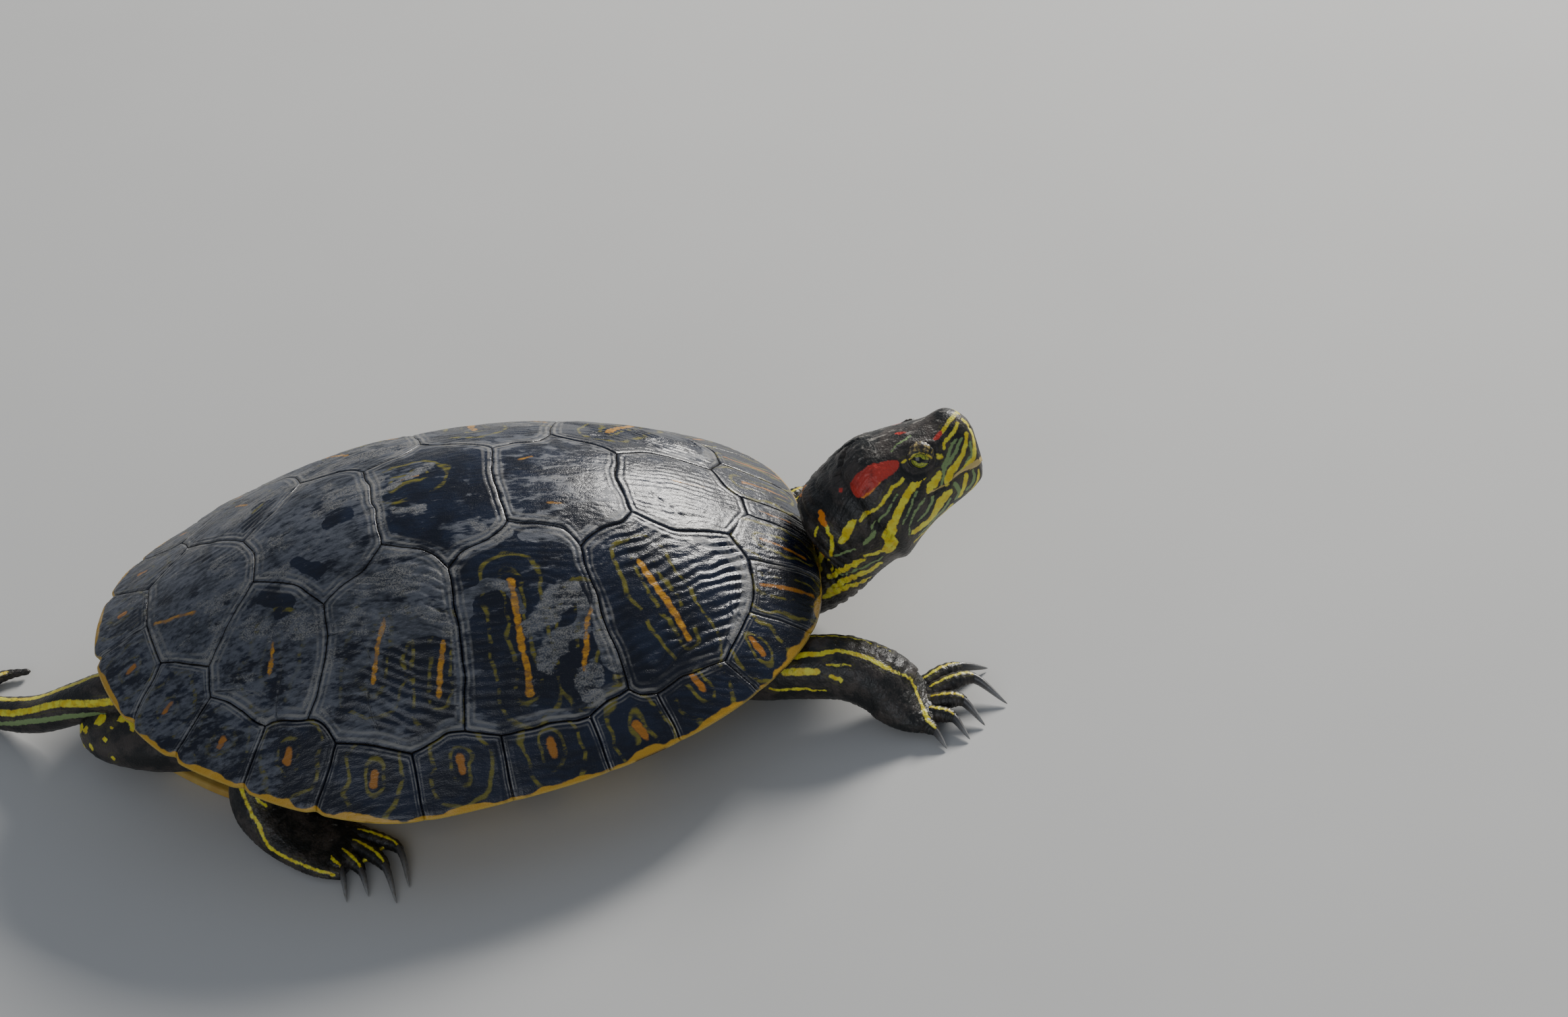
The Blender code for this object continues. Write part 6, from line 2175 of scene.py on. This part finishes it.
def web(first: Digit, second: Digit, reach: float) -> Body:
    """The thin skin between two digits, its edge drawn in between them.

    Args:
        first: one digit.
        second: its neighbour.
        reach: how far along the digits the web goes, counted in their joints.

    Returns:
        The body.
    """
    across, out = np.linspace(0, 1, 10), np.linspace(0, 1, 14)
    edge = reach * (1 - 0.30 * np.sin(math.pi * across))
    at = out[:, None] * edge[None, :]
    lines = [read_curve(digit.path(), at.ravel()).reshape(len(out), len(across), 5) for digit in (first, second)]
    share = across[None, :, None]
    rows = lines[0] * (1 - share) + lines[1] * share
    sag = 0.35 * np.sin(math.pi * across)[None, :] * out[:, None]
    thick = 0.50 * rows[..., 4] * (1 - 0.75 * out[:, None]) + 0.12
    top, low = rows[..., :3].copy(), rows[..., :3].copy()
    top[..., 2] += thick - sag
    low[..., 2] = np.maximum(low[..., 2] - thick - sag, 0.0)
    body = plate(top, low)
    body.fields = blank_fields(len(body.points))
    edge_field = np.tile(np.repeat(1 - out, len(across)), 2) * 6.0 - 0.35
    body.fields[Tint.YELLOW.value] = edge_field
    return body


@dataclass
class Limb:
    """One leg with its toes: the sweep, the digits and their webs."""

    prefix: str
    side: Side
    rows: tuple
    digits: tuple
    stride: float
    tuck: float
    stripes: dict[Tint, tuple]
    shields: tuple
    web_reach: float
    span_steps: int
    sides: int

    def placed_rows(self) -> Array:
        """The path on the limb's own side, the left foot moved along by the stride and in by the tuck.

        Returns:
            The rows.
        """
        rows = np.array(self.rows, dtype=float)
        if self.side is Side.LEFT:
            share = np.clip(np.arange(len(rows)) / FOOT_ROW, 0.0, 1.0) ** 0.4
            rows[:, 0] += self.stride * share
            rows[:, 1] = -rows[:, 1] - self.tuck * share
        return rows

    def placed_digits(self) -> list[Digit]:
        """The digits on the limb's own side.

        Returns:
            The digits.
        """
        shift, tuck, mirror = ((self.stride, self.tuck, -1.0) if self.side is Side.LEFT else (0.0, 0.0, 1.0))
        return [Digit(np.array(digit[:4]) * (1.0, mirror, 1.0) + (shift, -tuck, 0.0), digit[4])
                for digit in self.digits]

    def flesh(self) -> list[Body]:
        """The leg, its toes and webs.

        Returns:
            The bodies, the leg first.
        """
        stripes = self.stripes
        if self.side is Side.LEFT:
            stripes = {tint: tuple([(row, 180.0 - degrees, width) for row, degrees, width in line] for line in lines)
                       for tint, lines in stripes.items()}
        shields = tuple((row, degrees if self.side is Side.RIGHT else 180.0 - degrees, *size)
                        for row, degrees, *size in self.shields)
        leg = Sweep(self.placed_rows(), self.span_steps, self.sides, 2.0, 0.26, stripes, nose=2.0,
                    shields=shields).build()
        digits = self.placed_digits()
        webs = [web(a, b, self.web_reach) for a, b in zip(digits, digits[1:])]
        return [leg] + [digit.flesh() for digit in digits] + webs

    def claws(self, finish: bpy.types.Material) -> bpy.types.Object:
        """The claws of the foot as one piece.

        Args:
            finish: the horn they wear.

        Returns:
            The piece.
        """
        bodies = [digit.claw().on_map(0.2 * i, 0.0, 0.2 * i + 0.18, 1.0)
                  for i, digit in enumerate(self.placed_digits())]
        return make_piece(f"{self.prefix}_claws_{self.side.word}", join(bodies), finish)


def lay_out_limbs() -> list[Limb]:
    """The four legs, the near ones finer.

    Returns:
        The legs.
    """
    limbs = []
    for side, fineness in ((Side.RIGHT, 1.0), (Side.LEFT, 0.62)):
        mesh = {"span_steps": int(20 * fineness), "sides": int(88 * fineness)}
        limbs.append(Limb("fore", side, FORE_ROWS, FORE_DIGITS, -26.0, 15.0, FORE_STRIPES, FORE_SHIELDS, 1.1, **mesh))
        limbs.append(Limb("hind", side, HIND_ROWS, HIND_DIGITS, 12.0, 0.0, HIND_STRIPES, HIND_SHIELDS, 1.75, **mesh))
    return limbs


def build_trunk() -> Body:
    """The core of the body, most of it under the shell, with the spotted rump.

    Returns:
        The body.
    """
    count, sides, depth = 61, 50, 0.2
    rows = read_curve(np.array(TRUNK_ROWS), np.linspace(0, len(TRUNK_ROWS) - 1, count))
    angle = 2 * math.pi * (np.arange(sides) + 0.5) / sides
    flat = superellipse(rows[:, 1] - depth, rows[:, 3] - depth, rows[:, 2] + depth, angle, 3.0)
    rings = np.concatenate([np.broadcast_to(rows[:, :1, None], (count, sides, 1)), flat], axis=-1)
    normals = ring_normals(rings)
    cell, _ = scale_cells(rings, 2.0, 83)
    rings = rings + normals * (depth * (smooth(cell * 2.4) - 0.9))[..., None]
    body = tube(rings, nose=0.5, tail=0.8)
    body.fields = blank_fields(len(body.points))
    for x, y, z, radius in RUMP_SPOTS:
        spot = np.array([[x, y - 0.6, z], [x, y + 0.6, z]])
        paint(body.fields, body.points, Tint.YELLOW, spot, np.array([radius, radius]))
    return body


def build_skin(limbs: list[Limb], finish: bpy.types.Material) -> bpy.types.Object:
    """One skin over head, neck, trunk, legs and tail.

    Args:
        limbs: the legs.
        finish: the skin's finish.

    Returns:
        The piece, which stands for every node of flesh.
    """
    head = HeadAndNeck().build().on_map(0.0, 0.0, 0.49, 0.60)
    trunk = build_trunk().on_map(0.0, 0.62, 0.24, 0.80)
    tail = Sweep(np.array(TAIL_ROWS), 12, 52, 1.6, 0.18, TAIL_STRIPES, nose=0.9, whorl=(2.3, 14)).build()
    bodies = [head, trunk, tail.on_map(0.25, 0.62, 0.49, 0.80)]
    boxes = {("fore", Side.RIGHT): (0.50, 0.50), ("hind", Side.RIGHT): (0.75, 0.50),
             ("fore", Side.LEFT): (0.50, 0.0), ("hind", Side.LEFT): (0.75, 0.0)}
    for limb in limbs:
        left, low = boxes[limb.prefix, limb.side]
        leg, *small = limb.flesh()
        bodies.append(leg.on_map(left, low, left + 0.24, low + 0.34))
        for i, body in enumerate(small):
            column, row = i % 5, i // 5
            x, y = left + 0.048 * column, low + 0.35 + 0.07 * row
            bodies.append(body.on_map(x, y, x + 0.044, y + 0.064))
    piece = make_piece("skin", join(bodies), finish)
    legs = [f"{prefix}_{name}_{side.word}" for prefix in ("fore", "hind")
            for name in ("upper_leg", "lower_leg", "foot") for side in Side]
    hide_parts("head", "lower_jaw", "neck", "trunk", "tail_base", "tail_tip", *legs)
    return piece


# ---------------------------------------- setting

def build_floor() -> None:
    """A plain pale floor under the model."""
    mesh = bpy.data.meshes.new("floor")
    mesh.from_pydata([(-4, -4, 0), (4, -4, 0), (4, 4, 0), (-4, 4, 0)], [], [(0, 1, 2, 3)])
    floor = bpy.data.objects.new("floor", mesh)
    recipe = Recipe("pale_floor")
    paint_coat = recipe.mix(recipe.noise(90.0, 3.0), (0.52, 0.52, 0.51), (0.56, 0.56, 0.55))
    mesh.materials.append(recipe.finish(Base_Color=paint_coat, Roughness=0.85))
    bpy.context.scene.collection.objects.link(floor)


def stand(place: Array, right: Array, up: Array) -> Matrix:
    """The matrix of something at a place that looks along its own -Z.

    Args:
        place: where it stands.
        right: its own X direction.
        up: its own Y direction.

    Returns:
        The matrix.
    """
    rows = np.eye(4)
    rows[:3] = np.column_stack([right, up, np.cross(right, up), place])
    return Matrix(rows.tolist())


@dataclass(frozen=True)
class Lens:
    """The long lens that looks down on the right side from in front of the middle."""

    place: Triple = (-0.02998, -1.69146, 1.44066)
    right: Triple = (0.97628, -0.17952, -0.12103)
    up: Triple = (0.20718, 0.61240, 0.76291)
    focal_length: float = 155.334
    sensor_width: float = 36.0
    clip: tuple[float, float] = (0.05, 50.0)

    def build(self) -> None:
        """Stand the camera in the scene and look through it."""
        lens = bpy.data.cameras.new("camera")
        lens.lens, lens.sensor_width = self.focal_length, self.sensor_width
        lens.clip_start, lens.clip_end = self.clip
        camera = bpy.data.objects.new("camera", lens)
        camera.matrix_world = stand(np.array(self.place), unit(np.array(self.right)), unit(np.array(self.up)))
        bpy.context.scene.collection.objects.link(camera)
        bpy.context.scene.camera = camera


@dataclass(frozen=True)
class Lamp:
    """A square soft light that shines from a place towards a target: width in metres, power in watts."""

    name: str
    place: Triple
    target: Triple
    width: float
    power: float
    colour: Triple

    def build(self) -> None:
        """Hang the light in the scene."""
        lamp = bpy.data.lights.new(self.name, "AREA")
        lamp.size, lamp.energy, lamp.color = self.width, self.power, self.colour
        back = unit(np.array(self.place) - np.array(self.target))
        right = unit(np.cross((0.0, 0.0, 1.0), back))
        holder = bpy.data.objects.new(self.name, lamp)
        holder.matrix_world = stand(np.array(self.place), right, np.cross(back, right))
        bpy.context.scene.collection.objects.link(holder)


# A bright sky from behind and a soft fill in front
LAMPS = (Lamp("key", (1.30, 1.30, 1.00), (0.03, 0.0, 0.04), 0.55, 62.0, (1.0, 0.97, 0.92)),
         Lamp("fill", (-0.6, -1.5, 1.0), (0.0, 0.0, 0.03), 1.2, 7.0, (0.92, 0.95, 1.0)))
SURROUND, SURROUND_STRENGTH = (0.62, 0.68, 0.78, 1.0), 0.34


def build_light() -> None:
    """Plain soft studio light: a dim surround, then the lamps."""
    world = bpy.data.worlds.new("surround")
    world.use_nodes = True
    backdrop = world.node_tree.nodes["Background"]
    backdrop.inputs["Color"].default_value = SURROUND
    backdrop.inputs["Strength"].default_value = SURROUND_STRENGTH
    bpy.context.scene.world = world
    for lamp in LAMPS:
        lamp.build()


def main() -> None:
    """Dress the frame."""
    logging.basicConfig(level=logging.INFO, format="%(name)s: %(message)s")
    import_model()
    horn, skin = HornFinish().build(), SkinFinish().build()
    for scute in lay_out_scutes(16, 14):
        scute.build(horn)
    Plastron().build(PlastronFinish().build())
    limbs = lay_out_limbs()
    build_skin(limbs, skin)
    claw = ClawFinish().build()
    for limb in limbs:
        limb.claws(claw)
    eye = EyeFinish().build()
    for side in Side:
        EYE.build(side, eye)
    build_floor()
    Lens().build()
    build_light()


if __name__ == "__main__":
    main()
